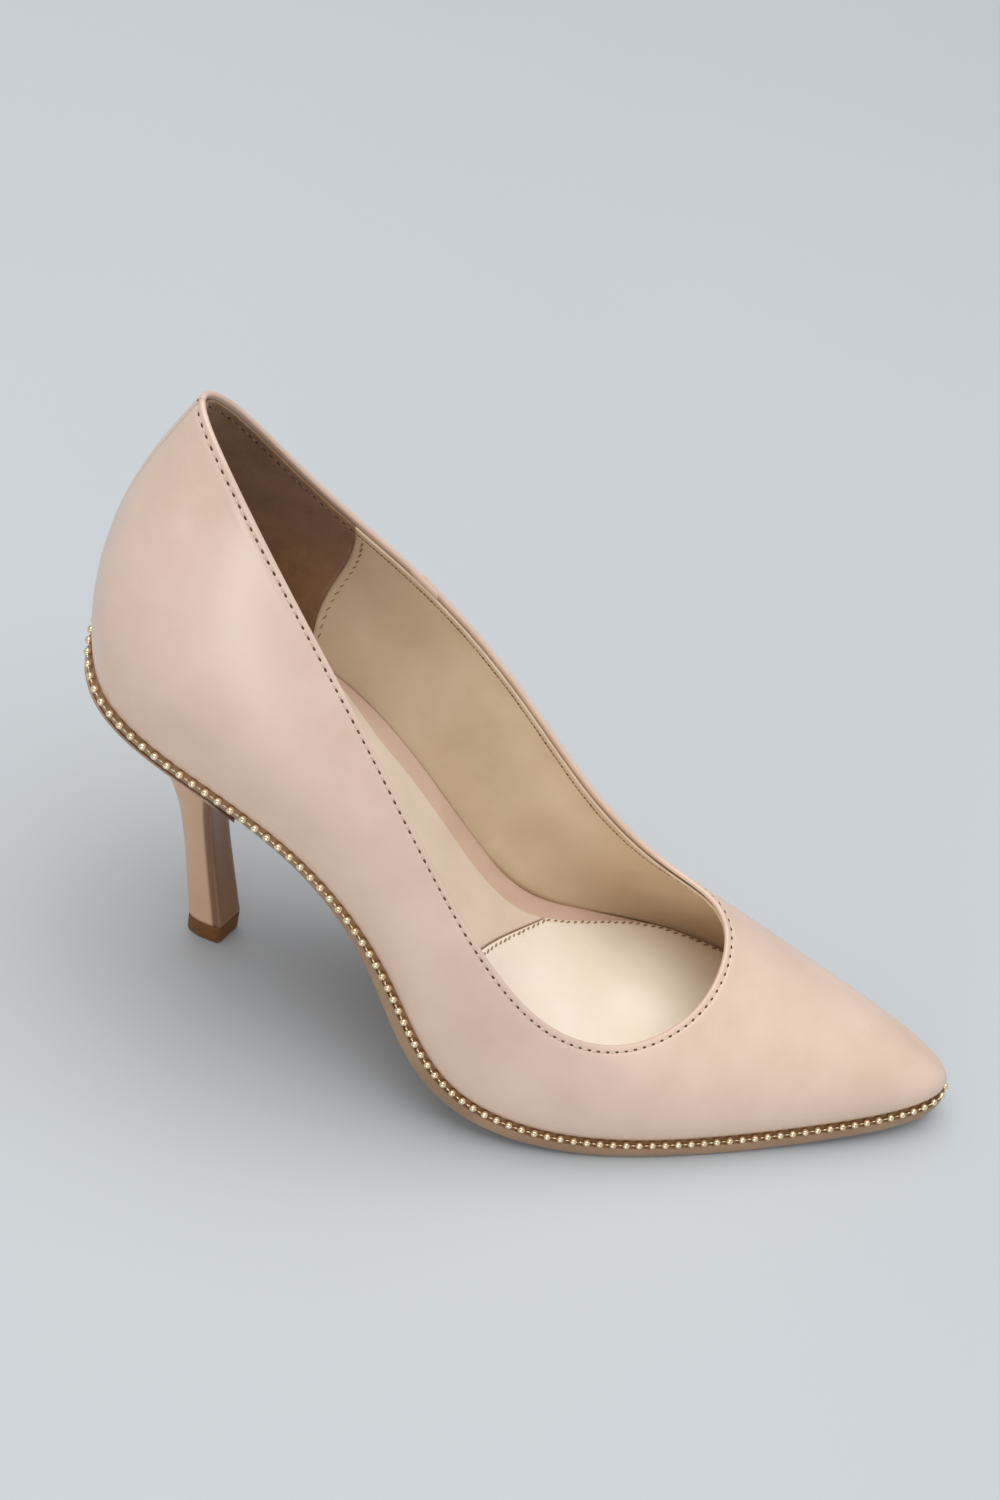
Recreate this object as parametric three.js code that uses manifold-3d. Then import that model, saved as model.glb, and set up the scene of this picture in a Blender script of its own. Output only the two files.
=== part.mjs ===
// High heel pump for the right foot, in millimetres.
//
// While it is being drawn, X runs from the back of the heel (0) to the toe tip, the lateral
// (outer) side of the foot is at -Y, and Z is the height over the ground. The last lines move
// the whole shoe so that its origin is on the ground under the middle of its box.
//
// The shoe is drawn round its feather line, the edge where the upper meets the sole. Places
// along it are stations: 0 at the back of the heel, 1 to 7 along the lateral side, 8 at the
// toe tip and 9 to 15 back along the medial side. Places between stations are fractions.

import * as THREE from "three";
import { mergeVertices } from "three/addons/utils/BufferGeometryUtils.js";
import Module from "manifold-3d";

const wasm = await Module();
wasm.setup();

// ---------------------------------------------------------------- driving dimensions

const STATIONS = 16;
const TOE = 8; // the station at the toe tip
const STEP = 0.25; // stations between two rows of points
const WALL_STEPS = 8; // rows of points from the feather line to the topline

const GAP = 0.3; // clearance between neighbouring pieces
const FINE_GAP = 0.2; // clearance between parallel layers of the upper

const leather = { thickness: 1.1 };
const stiffener = { thickness: 0.6 };
const lining = { thickness: 0.8 };

const chain = { radius: 1.05, out: 0.75, level: -1.35 };
const rand = { out: -0.7, width: 4.6, top: -GAP, thickness: 2.1 };
const insole = { out: -3.5, bottom: 0, thickness: 2 };
const sock = { thickness: 0.8 };
const outsole = { top: -2.7, waist: 2.3, forepart: 4.7, edge: 0.3, welt: 1.1, bevel: 1.1 };

// The replaceable tip of the heel. Its foot is a little narrower and further forward.
const lift = { height: 6, halfWidth: 4.4, depth: 11, draft: 0.2, forward: 0.4 };
// The heel at the lift: its breast is cut obliquely (skew, per mm across) with rounded corners.
// Going up, the breast rakes back, the stem tapers, and all of it flares out by a power curve.
const heel = {
  breastX: 46,
  centreY: -0.5,
  turn: THREE.MathUtils.degToRad(6),
  skew: 0.35,
  corner: 0.7,
  rake: 18,
  taper: 4,
  widen: 1.5,
  flareTop: 78,
  flarePower: 5.5,
  flareForward: 19,
  flareWidth: 17,
  flareDepth: 45,
  flareLean: 0.5,
};
const coverThickness = 0.9;

// The feather line and the topline: one control point [x, y, z] for each station.
const featherNet = [
  [-2, 0, 97.3],
  [2, -22, 94.5],
  [22, -31, 87.5],
  [59, -35.5, 75.5],
  [88, -41.5, 48.5],
  [106, -48.5, 14.5],
  [147, -46, 6],
  [200, -24.5, 7.5],
  [259, 1, 14],
  [204, 25, 7.5],
  [160, 42, 6],
  [118, 23.5, 15],
  [88, 25, 49],
  [58, 29, 75.5],
  [21, 28, 87.5],
  [2, 21, 94.5],
];
const toplineNet = [
  [9.5, 0, 167.5],
  [21, -12.5, 159.5],
  [42, -21.5, 136],
  [70, -31.5, 105],
  [98, -41.5, 70],
  [125, -45.5, 42],
  [150.5, -36.5, 33],
  [168.5, -17.5, 36],
  [172.5, 2, 42],
  [168, 16, 43.5],
  [151.5, 22.5, 43.5],
  [128, 28, 55.5],
  [102, 32.5, 82],
  [73, 30.5, 109],
  [41, 21.5, 134],
  [17, 13.5, 160],
];

// How full the wall is between them: [outwards, up] from the feather line to the low handle
// of the wall's curve, and from the topline to its high handle.
const lowFullness = [
  [6, 24],
  [7, 24],
  [6, 22],
  [4, 16],
  [3, 12],
  [3, 10],
  [5, 9],
  [5, 8.5],
  [6.5, 10.5],
  [3.5, 8],
  [3.5, 9.5],
  [2, 12],
  [2, 12],
  [3, 16],
  [6, 22],
  [7, 24],
];
const highFullness = [
  [12, -24],
  [13, -22],
  [11, -20],
  [7, -15],
  [4, -10],
  [3, -7],
  [6, -3],
  [11, -4],
  [29, -10],
  [12, -7.5],
  [4, -6],
  [3, -8],
  [4, -12],
  [7, -15],
  [11, -20],
  [13, -22],
];

// ---------------------------------------------------------------- materials

function material(color, roughness, metalness = 0) {
  return new THREE.MeshStandardMaterial({ color, roughness, metalness });
}
const upperLeather = material(0xd8bcae, 0.45);
const liningLeather = material(0xcdb394, 0.65);
const heelLiningSuede = material(0xa98a6a, 0.9);
const sockLeather = material(0xe3d2b6, 0.6);
const insoleCover = material(0xd3b3a4, 0.4);
const fibreBoard = material(0x8a6a4c, 0.9);
const corkFiller = material(0xa57c50, 0.95);
const foam = material(0xe8e2d2, 0.95);
const soleEdge = material(0xb58a63, 0.5);
const darkRand = material(0x4a2f20, 0.6);
const gold = material(0xd9b98a, 0.25, 1);
const steel = material(0x9a9da1, 0.35, 1);
const heelPlastic = material(0xd9d4c8, 0.5);
const liftPlastic = material(0x8f6b4c, 0.5);

// ---------------------------------------------------------------- the last

const vec = (p) => new THREE.Vector3(...p);

// A point of a closed, uniform cubic B-spline over one control point a station.
function onNet(net, station) {
  const t = ((station % STATIONS) + STATIONS) % STATIONS;
  const first = Math.floor(t);
  const f = t - first;
  const weights = [
    (1 - f) ** 3 / 6,
    (3 * f ** 3 - 6 * f ** 2 + 4) / 6,
    (-3 * f ** 3 + 3 * f ** 2 + 3 * f + 1) / 6,
    f ** 3 / 6,
  ];
  const point = new THREE.Vector3();
  weights.forEach((weight, k) => {
    point.addScaledVector(net[(first - 1 + k + STATIONS) % STATIONS], weight);
  });
  return point;
}

const feather = featherNet.map(vec);
const topline = toplineNet.map(vec);

// Each station's outward direction, level with the ground.
const outwardNet = feather.map((_, i) => {
  const before = feather[(i + STATIONS - 1) % STATIONS];
  const after = feather[(i + 1) % STATIONS];
  return new THREE.Vector3(after.y - before.y, before.x - after.x, 0).normalize();
});

function handleNet(net, fullness) {
  return net.map((point, i) => {
    const [out, up] = fullness[i];
    const handle = point.clone().addScaledVector(outwardNet[i], out);
    handle.z += up;
    return handle;
  });
}
const lowHandles = handleNet(feather, lowFullness);
const highHandles = handleNet(topline, highFullness);

// The outer face of the upper: s is 0 at the feather line and 1 at the topline.
function wall(station, s) {
  return onNet(feather, station)
    .multiplyScalar((1 - s) ** 3)
    .addScaledVector(onNet(lowHandles, station), 3 * s * (1 - s) ** 2)
    .addScaledVector(onNet(highHandles, station), 3 * s * s * (1 - s))
    .addScaledVector(onNet(topline, station), s ** 3);
}

// The direction out of the wall, and the direction up along it.
function wallFrame(station, s) {
  const d = 0.01;
  const low = Math.max(0, s - d);
  const high = Math.min(1, s + d);
  const along = wall(station + d, s).sub(wall(station - d, s));
  const up = wall(station, high).sub(wall(station, low)).normalize();
  const out = along.clone().cross(up).normalize();
  return { out, up };
}

// A point a depth inside the outer face.
function inWall(station, s, depth) {
  return wall(station, s).addScaledVector(wallFrame(station, s).out, -depth);
}

// The direction square to the sole, the same at the lateral and medial ends of a station.
function soleUp(station) {
  const t = station % STATIONS;
  const end = 0.6; // the direction is held near the heel back and the toe tip
  const at = Math.min(Math.max(Math.min(t, STATIONS - t), end), TOE - end);
  const d = 0.05;
  const middle = (k) => onNet(feather, k).add(onNet(feather, STATIONS - k));
  const run = middle(at + d).sub(middle(at - d));
  const across = onNet(feather, STATIONS - at).sub(onNet(feather, at));
  return run.cross(across).normalize();
}

// The direction out of the feather line, in the plane of the sole.
function outward(station) {
  const d = 0.02;
  const run = onNet(feather, station + d).sub(onNet(feather, station - d));
  return run.cross(soleUp(station)).normalize();
}

// A point beside the feather line: out from it, and at a level above the sole's top.
function byFeather(station, out, level) {
  return onNet(feather, station)
    .addScaledVector(outward(station), out)
    .addScaledVector(soleUp(station), level);
}

// ---------------------------------------------------------------- solids from rows of points

// A closed solid whose faces point out, from triangles that share no vertices.
function solidFrom(corners) {
  const flat = new Float32Array(corners.flatMap((p) => [p.x, p.y, p.z]));
  const loose = new THREE.BufferGeometry();
  loose.setAttribute("position", new THREE.BufferAttribute(flat, 3));
  const merged = mergeVertices(loose, 1e-3);
  const index = merged.index.array;
  const kept = [];
  for (let i = 0; i < index.length; i += 3) {
    const [a, b, c] = [index[i], index[i + 1], index[i + 2]];
    if (a !== b && b !== c && c !== a) kept.push(a, b, c);
  }
  const position = merged.getAttribute("position");
  let volume = 0;
  for (let i = 0; i < kept.length; i += 3) {
    const [a, b, c] = kept.slice(i, i + 3).map((k) => new THREE.Vector3().fromBufferAttribute(position, k));
    volume += a.dot(b.cross(c));
  }
  if (volume < 0) kept.reverse();
  merged.setIndex(kept);
  return merged;
}

// The body between two grids of points of one size, closed along their edges. A closed grid
// joins its last row to its first.
function between(front, back, closed) {
  const rows = front.length;
  const columns = front[0].length;
  const corners = [];
  const quad = (a, b, c, d) => corners.push(a, b, c, a, c, d);
  for (let i = 0; i < (closed ? rows : rows - 1); i++) {
    const n = (i + 1) % rows;
    for (let j = 0; j < columns - 1; j++) {
      quad(front[i][j], front[n][j], front[n][j + 1], front[i][j + 1]);
      quad(back[i][j], back[i][j + 1], back[n][j + 1], back[n][j]);
    }
    const last = columns - 1;
    quad(front[i][0], back[i][0], back[n][0], front[n][0]);
    quad(front[i][last], front[n][last], back[n][last], back[i][last]);
  }
  if (!closed) {
    const end = rows - 1;
    for (let j = 0; j < columns - 1; j++) {
      quad(front[0][j], front[0][j + 1], back[0][j + 1], back[0][j]);
      quad(front[end][j], back[end][j], back[end][j + 1], front[end][j + 1]);
    }
  }
  return solidFrom(corners);
}

// Stations from one to another, on the shared steps in between.
function stationsBetween(from, to) {
  const list = [from];
  const firstStep = Math.floor(from / STEP + 1.2);
  for (let k = firstStep; k * STEP < to - 0.2 * STEP; k++) list.push(k * STEP);
  list.push(to);
  return list;
}
const allStations = Array.from({ length: STATIONS / STEP }, (_, i) => i * STEP);

// A layer of the upper between two depths. depth(s) is the depth of its outer face.
function wallLayer(stations, low, high, depth, thickness, closed = false) {
  const heights = Array.from({ length: WALL_STEPS + 1 }, (_, j) => j / WALL_STEPS);
  const inside = heights.filter((s) => s > low + 0.02 && s < high - 0.02);
  const used = [low, ...inside, high];
  const grid = (extra) => stations.map((t) => used.map((s) => inWall(t, s, depth(s) + extra)));
  return between(grid(0), grid(thickness), closed);
}

// A strip that follows the feather line. outline is a list of [out, level] corners.
function featherStrip(outline) {
  const rows = allStations.map((t) => outline.map(([out, level]) => byFeather(t, out, level)));
  const corners = [];
  rows.forEach((row, i) => {
    const next = rows[(i + 1) % rows.length];
    row.forEach((point, j) => {
      const k = (j + 1) % row.length;
      corners.push(point, next[j], next[k], point, next[k], row[k]);
    });
  });
  return solidFrom(corners);
}

// A plate of the sole between two stations. top and bottom give [out, level] at a station.
function solePlate(from, to, top, bottom, across = 6, shape = (p) => p) {
  const grid = (place) =>
    stationsBetween(from, to).map((t) => {
      const [out, level] = place(t);
      const lateral = byFeather(t, out, level);
      const medial = byFeather(STATIONS - t, out, level);
      return Array.from({ length: across + 1 }, (_, k) =>
        shape(lateral.clone().lerp(medial, k / across)),
      );
    });
  return between(grid(top), grid(bottom), false);
}

// ---------------------------------------------------------------- joining and cutting

function toManifold(geometry) {
  const vertProperties = new Float32Array(geometry.getAttribute("position").array);
  const triVerts = new Uint32Array(geometry.index.array);
  return new wasm.Manifold(new wasm.Mesh({ numProp: 3, vertProperties, triVerts }));
}

function fromManifold(solid) {
  const mesh = solid.getMesh();
  const geometry = new THREE.BufferGeometry();
  geometry.setAttribute("position", new THREE.BufferAttribute(mesh.vertProperties, 3));
  geometry.setIndex(new THREE.BufferAttribute(mesh.triVerts, 1));
  return geometry;
}

function cut(geometry, tools) {
  const start = toManifold(geometry);
  return fromManifold(tools.reduce((solid, tool) => solid.subtract(toManifold(tool)), start));
}

// A round bar, turned from [radius, distance] corners about the line from start towards end.
function turned(profile, start, end, sides) {
  const points = profile.map(([radius, distance]) => new THREE.Vector2(radius, distance));
  const lathe = new THREE.LatheGeometry(points, sides);
  const axis = end.clone().sub(start).normalize();
  lathe.applyQuaternion(new THREE.Quaternion().setFromUnitVectors(new THREE.Vector3(0, 1, 0), axis));
  lathe.translate(start.x, start.y, start.z);
  const corners = [];
  const position = lathe.getAttribute("position");
  for (const k of lathe.index.array) corners.push(new THREE.Vector3().fromBufferAttribute(position, k));
  return solidFrom(corners);
}

function bar(radius, start, end, sides) {
  const length = start.distanceTo(end);
  return turned([[0, 0], [radius, 0], [radius, length], [0, length]], start, end, sides);
}

// ---------------------------------------------------------------- the assembly

const shoe = new THREE.Group();

function add(name, geometry, finish) {
  const smooth = geometry.clone();
  smooth.computeVertexNormals();
  const mesh = new THREE.Mesh(smooth, finish);
  mesh.name = name;
  shoe.add(mesh);
}

// The upper: one vamp that wraps the toe and the lateral side, and a medial quarter. They
// meet at the back seam and at the medial side seam.
const backSeam = { from: 0.012, to: STATIONS - 0.012 };
const sideSeam = 13.1;
const halfSeam = 0.008; // in stations
const outerFace = () => 0;
const vampStations = stationsBetween(backSeam.from, sideSeam - halfSeam);
const quarterStations = stationsBetween(sideSeam + halfSeam, backSeam.to);
add("upper_vamp", wallLayer(vampStations, 0, 1, outerFace, leather.thickness), upperLeather);
add("upper_medial_quarter", wallLayer(quarterStations, 0, 1, outerFace, leather.thickness), upperLeather);

// Stiffeners between the leather and the lining: the heel counter and the toe puff.
const stiffenerDepth = leather.thickness + FINE_GAP;
const counterStations = stationsBetween(STATIONS - 2.25, STATIONS + 2.25);
add(
  "heel_counter",
  wallLayer(counterStations, 0, 0.7, () => stiffenerDepth, stiffener.thickness),
  fibreBoard,
);
const puffStations = stationsBetween(TOE - 1.25, TOE + 1.25);
add(
  "toe_puff",
  wallLayer(puffStations, 0, 0.5, () => stiffenerDepth, stiffener.thickness),
  fibreBoard,
);

// The linings. They close in on the leather over the stiffeners' top edge.
const liningSeam = { lateral: 2.35, medial: 13.65 };
const lowLining = stiffenerDepth + stiffener.thickness + FINE_GAP;
const highLining = leather.thickness + FINE_GAP;
const taperFrom = 0.75;
function liningDepth(s) {
  const taper = Math.max(0, (s - taperFrom) / (1 - taperFrom));
  return lowLining + (highLining - lowLining) * taper;
}
const vampLiningStations = stationsBetween(liningSeam.lateral + halfSeam, liningSeam.medial - halfSeam);
const heelLiningStations = stationsBetween(
  liningSeam.medial + halfSeam,
  STATIONS + liningSeam.lateral - halfSeam,
);
add("vamp_lining", wallLayer(vampLiningStations, 0, 1, liningDepth, lining.thickness), liningLeather);
add("heel_lining", wallLayer(heelLiningStations, 0, 1, liningDepth, lining.thickness), heelLiningSuede);

// The turned-in top edge of the upper, a bead that covers the leather and the lining.
function toplineFold() {
  const inner = highLining + lining.thickness;
  const outline = [
    [0, GAP],
    [0, 0.9],
    [0.5, 1.3],
    [inner - 0.5, 1.3],
    [inner, 0.9],
    [inner, GAP],
  ];
  const corners = [];
  const rows = allStations.map((t) => {
    const { out, up } = wallFrame(t, 1);
    const edge = wall(t, 1);
    return outline.map(([depth, height]) =>
      edge.clone().addScaledVector(out, -depth).addScaledVector(up, height),
    );
  });
  rows.forEach((row, i) => {
    const next = rows[(i + 1) % rows.length];
    row.forEach((point, j) => {
      const k = (j + 1) % row.length;
      corners.push(point, next[j], next[k], point, next[k], row[k]);
    });
  });
  return solidFrom(corners);
}
add("topline_fold", toplineFold(), upperLeather);

// ---------------------------------------------------------------- heel shape

// The heel is drawn as rings. Each ring has the points of a D: a round back from the lateral
// breast corner to the medial one, and a straight breast.
const ROUND_STEPS = 16;
const BREAST_STEPS = 4;
const seatLevel = outsole.top - outsole.waist - GAP; // underside of the outsole at the seat
const seatOut = -0.9;
const breastStation = 2.6;

const heelHeights = [lift.height + GAP, 14, 24, 36, 47, 56, 64, 71];

// A ring of the heel: its breast, half width, depth to the back, and lean with the seat.
function heelRing(z) {
  const up = (z - lift.height) / (heel.flareTop - lift.height);
  const flare = up ** heel.flarePower;
  return {
    z,
    x: heel.breastX - heel.rake * up + heel.flareForward * flare,
    half: lift.halfWidth + heel.widen * up + heel.flareWidth * flare,
    depth: lift.depth - heel.taper * up + heel.flareDepth * flare,
    lean: heel.flareLean * flare,
    turn: heel.turn * (1 - up),
    skew: heel.skew * (1 - up),
  };
}

function dRing({ z, x, half, depth, lean, turn, skew }, inset) {
  const w = half - inset;
  const d = depth - 2 * inset;
  const forward = new THREE.Vector3(Math.cos(turn), -Math.sin(turn), 0);
  const sideways = new THREE.Vector3(Math.sin(turn), Math.cos(turn), 0);
  const breastY = heel.centreY - 0.5 * depth * Math.sin(turn);
  const centre = new THREE.Vector3(x, breastY, z).addScaledVector(forward, -inset);
  const square = 0.8; // 1 is a half ellipse, less is squarer
  const place = (u, v) => {
    const p = centre.clone().addScaledVector(forward, u + skew * v).addScaledVector(sideways, v);
    p.z -= lean * (p.x - centre.x);
    return p;
  };
  const round = Array.from({ length: ROUND_STEPS + 1 }, (_, k) => {
    const angle = (Math.PI * k) / ROUND_STEPS;
    const v = -Math.sign(Math.cos(angle)) * Math.abs(Math.cos(angle)) ** square;
    return place(-heel.corner - (d - heel.corner) * Math.sin(angle) ** square, w * v);
  });
  const hollow = 0.08 * w; // the breast is slightly hollow
  const breast = Array.from({ length: BREAST_STEPS - 1 }, (_, k) => {
    const v = 1 - (2 * (k + 1)) / BREAST_STEPS;
    return place(-hollow * (1 - v * v) - heel.corner * v ** 6, w * v);
  });
  return [...round, ...breast];
}

// The top ring lies under the sole, along the seat's outline.
function seatRing(inset) {
  const stationsPerMm = 1 / 34; // along the feather line by the heel breast
  const corner = breastStation - inset * stationsPerMm;
  const out = seatOut - inset;
  const round = Array.from({ length: ROUND_STEPS + 1 }, (_, k) => {
    const t = corner * (1 - (2 * k) / ROUND_STEPS);
    return byFeather((t + STATIONS) % STATIONS, out, seatLevel);
  });
  const [first, last] = [round[0], round[ROUND_STEPS]];
  const hollow = 0.5;
  const breast = Array.from({ length: BREAST_STEPS - 1 }, (_, k) => {
    const v = 1 - (2 * (k + 1)) / BREAST_STEPS;
    const point = last.clone().lerp(first, (1 - v) / 2);
    point.x -= hollow * (1 - v * v);
    return point;
  });
  return [...round, ...breast];
}

function heelSections(inset) {
  return [...heelHeights.map((z) => dRing(heelRing(z), inset)), seatRing(inset)];
}

// A solid through D rings. Each end is closed by strips from the lateral to the medial side.
function loft(rings) {
  const corners = [];
  const size = rings[0].length;
  for (let i = 0; i < rings.length - 1; i++) {
    for (let j = 0; j < size; j++) {
      const k = (j + 1) % size;
      const [a, b, c, d] = [rings[i][j], rings[i][k], rings[i + 1][k], rings[i + 1][j]];
      corners.push(a, b, c, a, c, d);
    }
  }
  const cap = (ring, facesUp) => {
    const triangle = (a, b, c) => corners.push(...(facesUp ? [a, c, b] : [a, b, c]));
    for (let j = 1; j < ROUND_STEPS / 2; j++) {
      const [a, b] = [ring[j], ring[j + 1]];
      const [c, d] = [ring[ROUND_STEPS - j - 1], ring[ROUND_STEPS - j]];
      triangle(a, b, c);
      triangle(a, c, d);
    }
    for (let j = ROUND_STEPS - 1; j < size; j++) triangle(ring[1], ring[j], ring[(j + 1) % size]);
  };
  cap(rings[0], true);
  cap(rings[rings.length - 1], false);
  return solidFrom(corners);
}

// ---------------------------------------------------------------- fastenings of the heel

const seatMiddle = (t) => byFeather(t, 0, 0).lerp(byFeather(STATIONS - t, 0, 0), 0.5);
const insoleTop = insole.bottom + insole.thickness;
const down = soleUp(1.8).negate();

// Where a fastener's head bottoms in the insole board, by station and distance to the side.
function fasteningPlace(station, side, head) {
  const place = seatMiddle(station).addScaledVector(down, -insoleTop + head + GAP);
  place.y += side;
  return place;
}
const screw = { radius: 1.9, headRadius: 3.6, head: 0.9, length: 16 };
const nail = { radius: 0.75, headRadius: 1.7, head: 0.5, length: 10 };
const screwPlace = fasteningPlace(1.85, 0, screw.head);
const nailPlaces = [
  fasteningPlace(1.55, -8, nail.head),
  fasteningPlace(1.55, 8, nail.head),
  fasteningPlace(2.1, -10, nail.head),
  fasteningPlace(2.1, 10, nail.head),
];
const screwSides = 12;
const nailSides = 8;

// A pointed fastener with a flat head, and the counterbored hole that it goes through.
function fastener({ radius, headRadius, head, length }, place, sides) {
  const outline = [
    [0, -head],
    [headRadius, -head],
    [headRadius, 0],
    [radius, 0],
    [radius, length - 1.5 * radius],
    [0, length],
  ];
  return turned(outline, place, place.clone().add(down), sides);
}
function fastenerHole({ radius, headRadius, length }, place, sides) {
  const over = 4; // how far the counterbore runs on above the board
  const outline = [
    [0, -over],
    [headRadius + GAP, -over],
    [headRadius + GAP, GAP],
    [radius + GAP, GAP],
    [radius + GAP, length + GAP],
    [0, length + GAP],
  ];
  return turned(outline, place, place.clone().add(down), sides);
}
const fasteningHoles = [
  fastenerHole(screw, screwPlace, screwSides),
  ...nailPlaces.map((place) => fastenerHole(nail, place, nailSides)),
];

// ---------------------------------------------------------------- the bottom of the shoe

const plain = (out, level) => () => [out, level];

// The rand, a dark strip set back under the upper, leaves the groove for the chain.
const randInner = rand.out - rand.width;
const randBottom = rand.top - rand.thickness;
add(
  "rand",
  featherStrip([
    [rand.out, rand.top],
    [rand.out, randBottom],
    [randInner, randBottom],
    [randInner, rand.top],
  ]),
  darkRand,
);

// The ball chain, drawn as the round strip that its balls fill.
const CHAIN_SIDES = 6;
add(
  "ball_chain",
  featherStrip(
    Array.from({ length: CHAIN_SIDES }, (_, k) => {
      const angle = (2 * Math.PI * k) / CHAIN_SIDES;
      const out = chain.out + chain.radius * Math.cos(angle);
      return [out, chain.level + chain.radius * Math.sin(angle)];
    }),
  ),
  gold,
);

// Between insole board and outsole: a seat filler under the heel, the shank with its two
// rivets in the waist, and a cork filler under the ball and the toes.
const fillerOut = randInner - GAP;
const fillerTop = insole.bottom - GAP;
const fillerBottom = outsole.top + GAP;
const shank = { from: 2.35, to: 5, halfWidth: 5.5, thickness: 1.4 };
add(
  "seat_filler",
  cut(solePlate(0.4, 2.3, plain(fillerOut, fillerTop), plain(fillerOut, fillerBottom)), fasteningHoles),
  fibreBoard,
);
add(
  "cork_filler",
  solePlate(5.1, TOE - 0.35, plain(fillerOut, fillerTop), plain(fillerOut, fillerBottom)),
  corkFiller,
);

function shankGrid(level) {
  return stationsBetween(shank.from, shank.to).map((t) => {
    const middle = seatMiddle(t).addScaledVector(soleUp(t), level);
    return [-1, 0, 1].map((side) => {
      const ridge = side === 0 ? 0.25 : 0; // the strip is pressed with a slight rib
      const p = middle.clone().addScaledVector(soleUp(t), ridge);
      p.y += side * shank.halfWidth;
      return p;
    });
  });
}
const shankTop = fillerTop - 0.25;
const shankBottom = shankTop - shank.thickness;
const rivetStations = [2.6, 4.6];
const rivet = { radius: 1.3, length: 3.1 };
const rivetLine = (t) => {
  const up = soleUp(t);
  const start = seatMiddle(t).addScaledVector(up, insoleTop - GAP);
  return { start, end: start.clone().addScaledVector(up, -rivet.length) };
};
const rivetHoles = rivetStations.map((t) => {
  const { start, end } = rivetLine(t);
  const reach = end.clone().sub(start).normalize().multiplyScalar(2);
  return bar(rivet.radius + GAP, start.clone().sub(reach), end.clone().add(reach), nailSides);
});
// The insole board lies inside the linings on the rand and carries everything else.
add(
  "insole_board",
  cut(solePlate(0, TOE, plain(insole.out, insoleTop), plain(insole.out, insole.bottom)), [
    ...fasteningHoles,
    ...rivetHoles,
  ]),
  insoleCover,
);
add("shank", cut(between(shankGrid(shankTop), shankGrid(shankBottom), false), rivetHoles), steel);

// ---------------------------------------------------------------- outsole

// Thick under the ball and the toes, thin in the waist and under the heel.
function outsoleThickness(station) {
  const t = Math.min(station, STATIONS - station);
  const forward = THREE.MathUtils.smoothstep(t, 3.2, 5.6);
  return outsole.waist + (outsole.forepart - outsole.waist) * forward;
}
function outsoleEdge(station) {
  const forward = THREE.MathUtils.smoothstep(Math.min(station, STATIONS - station), 3.2, 5.6);
  return outsole.edge + (outsole.welt - outsole.edge) * forward;
}
const onGround = (p) => {
  p.z = Math.max(p.z, 0);
  return p;
};
add(
  "outsole",
  cut(
    solePlate(
      0,
      TOE,
      (t) => [outsoleEdge(t), outsole.top],
      (t) => [outsoleEdge(t) - outsole.bevel, outsole.top - outsoleThickness(t)],
      8,
      onGround,
    ),
    fasteningHoles,
  ),
  soleEdge,
);

// ---------------------------------------------------------------- rivets, screw and nails

rivetStations.forEach((t, i) => {
  const { start, end } = rivetLine(t);
  add(["shank_rivet_rear", "shank_rivet_front"][i], bar(rivet.radius, start, end, nailSides), steel);
});
add("heel_screw", fastener(screw, screwPlace, screwSides), steel);
nailPlaces.forEach((place, i) => add(`heel_nail_${i + 1}`, fastener(nail, place, nailSides), steel));

// ---------------------------------------------------------------- the heel

// The bore up the stem takes a steel tube, and the lift's dowel is pressed into the tube.
const stemAxis = new THREE.Vector3(-8.1, 0, 40.7).normalize();
const stemFoot = new THREE.Vector3(40.1, -0.5, lift.height + GAP);
const upStem = (length) => stemFoot.clone().addScaledVector(stemAxis, length);
const tube = { radius: 2.2, bore: 1.5, from: 1.5, to: 38 };
const dowel = { radius: 1.2, inLift: 3.5, inTube: 12 };
const tubeSides = 10;

const core = loft(heelSections(coverThickness + FINE_GAP));
const stemBore = bar(tube.radius + GAP, upStem(-2), upStem(tube.to + 1), tubeSides);
add("heel_core", cut(core, [stemBore, ...fasteningHoles]), heelPlastic);

// The cover is glued round the core and open at the seat and at the lift.
const coverOutside = heelSections(0);
const coverInside = heelSections(coverThickness);
const columns = (rings) => rings[0].map((_, j) => rings.map((ring) => ring[j]));
add("heel_cover", between(columns(coverOutside), columns(coverInside), true), upperLeather);

const tubeWall = [
  [tube.bore, tube.from],
  [tube.radius, tube.from],
  [tube.radius, tube.to],
  [tube.bore, tube.to],
  [tube.bore, tube.from],
];
add("heel_tube", turned(tubeWall, stemFoot, upStem(1), tubeSides), steel);

const liftTop = heelRing(lift.height);
const liftFoot = {
  ...liftTop,
  z: 0,
  x: liftTop.x + lift.forward,
  half: lift.halfWidth - lift.draft,
};
const liftBody = loft([dRing(liftFoot, 0), dRing(liftTop, 0)]);
const dowelHole = bar(dowel.radius + GAP, upStem(-dowel.inLift - GAP), upStem(2), nailSides);
add("heel_lift", cut(liftBody, [dowelHole]), liftPlastic);
add("lift_dowel", bar(dowel.radius, upStem(-dowel.inLift), upStem(dowel.inTube), nailSides), steel);

// ---------------------------------------------------------------- inside the shoe

// The sock covers the insole board from the heel to the ball, over the fastenings.
const rimWidth = 3.6; // the covered edge of the board that shows beside the sock
const sockOut = insole.out - rimWidth;
const sockBottom = insoleTop + 2 * GAP;
const sockTop = sockBottom + sock.thickness;
const padSeam = 4.95; // where the sock meets the forefoot pad
add(
  "sock",
  solePlate(0.1, padSeam - halfSeam, plain(sockOut, sockTop), plain(sockOut, sockBottom)),
  sockLeather,
);

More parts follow.
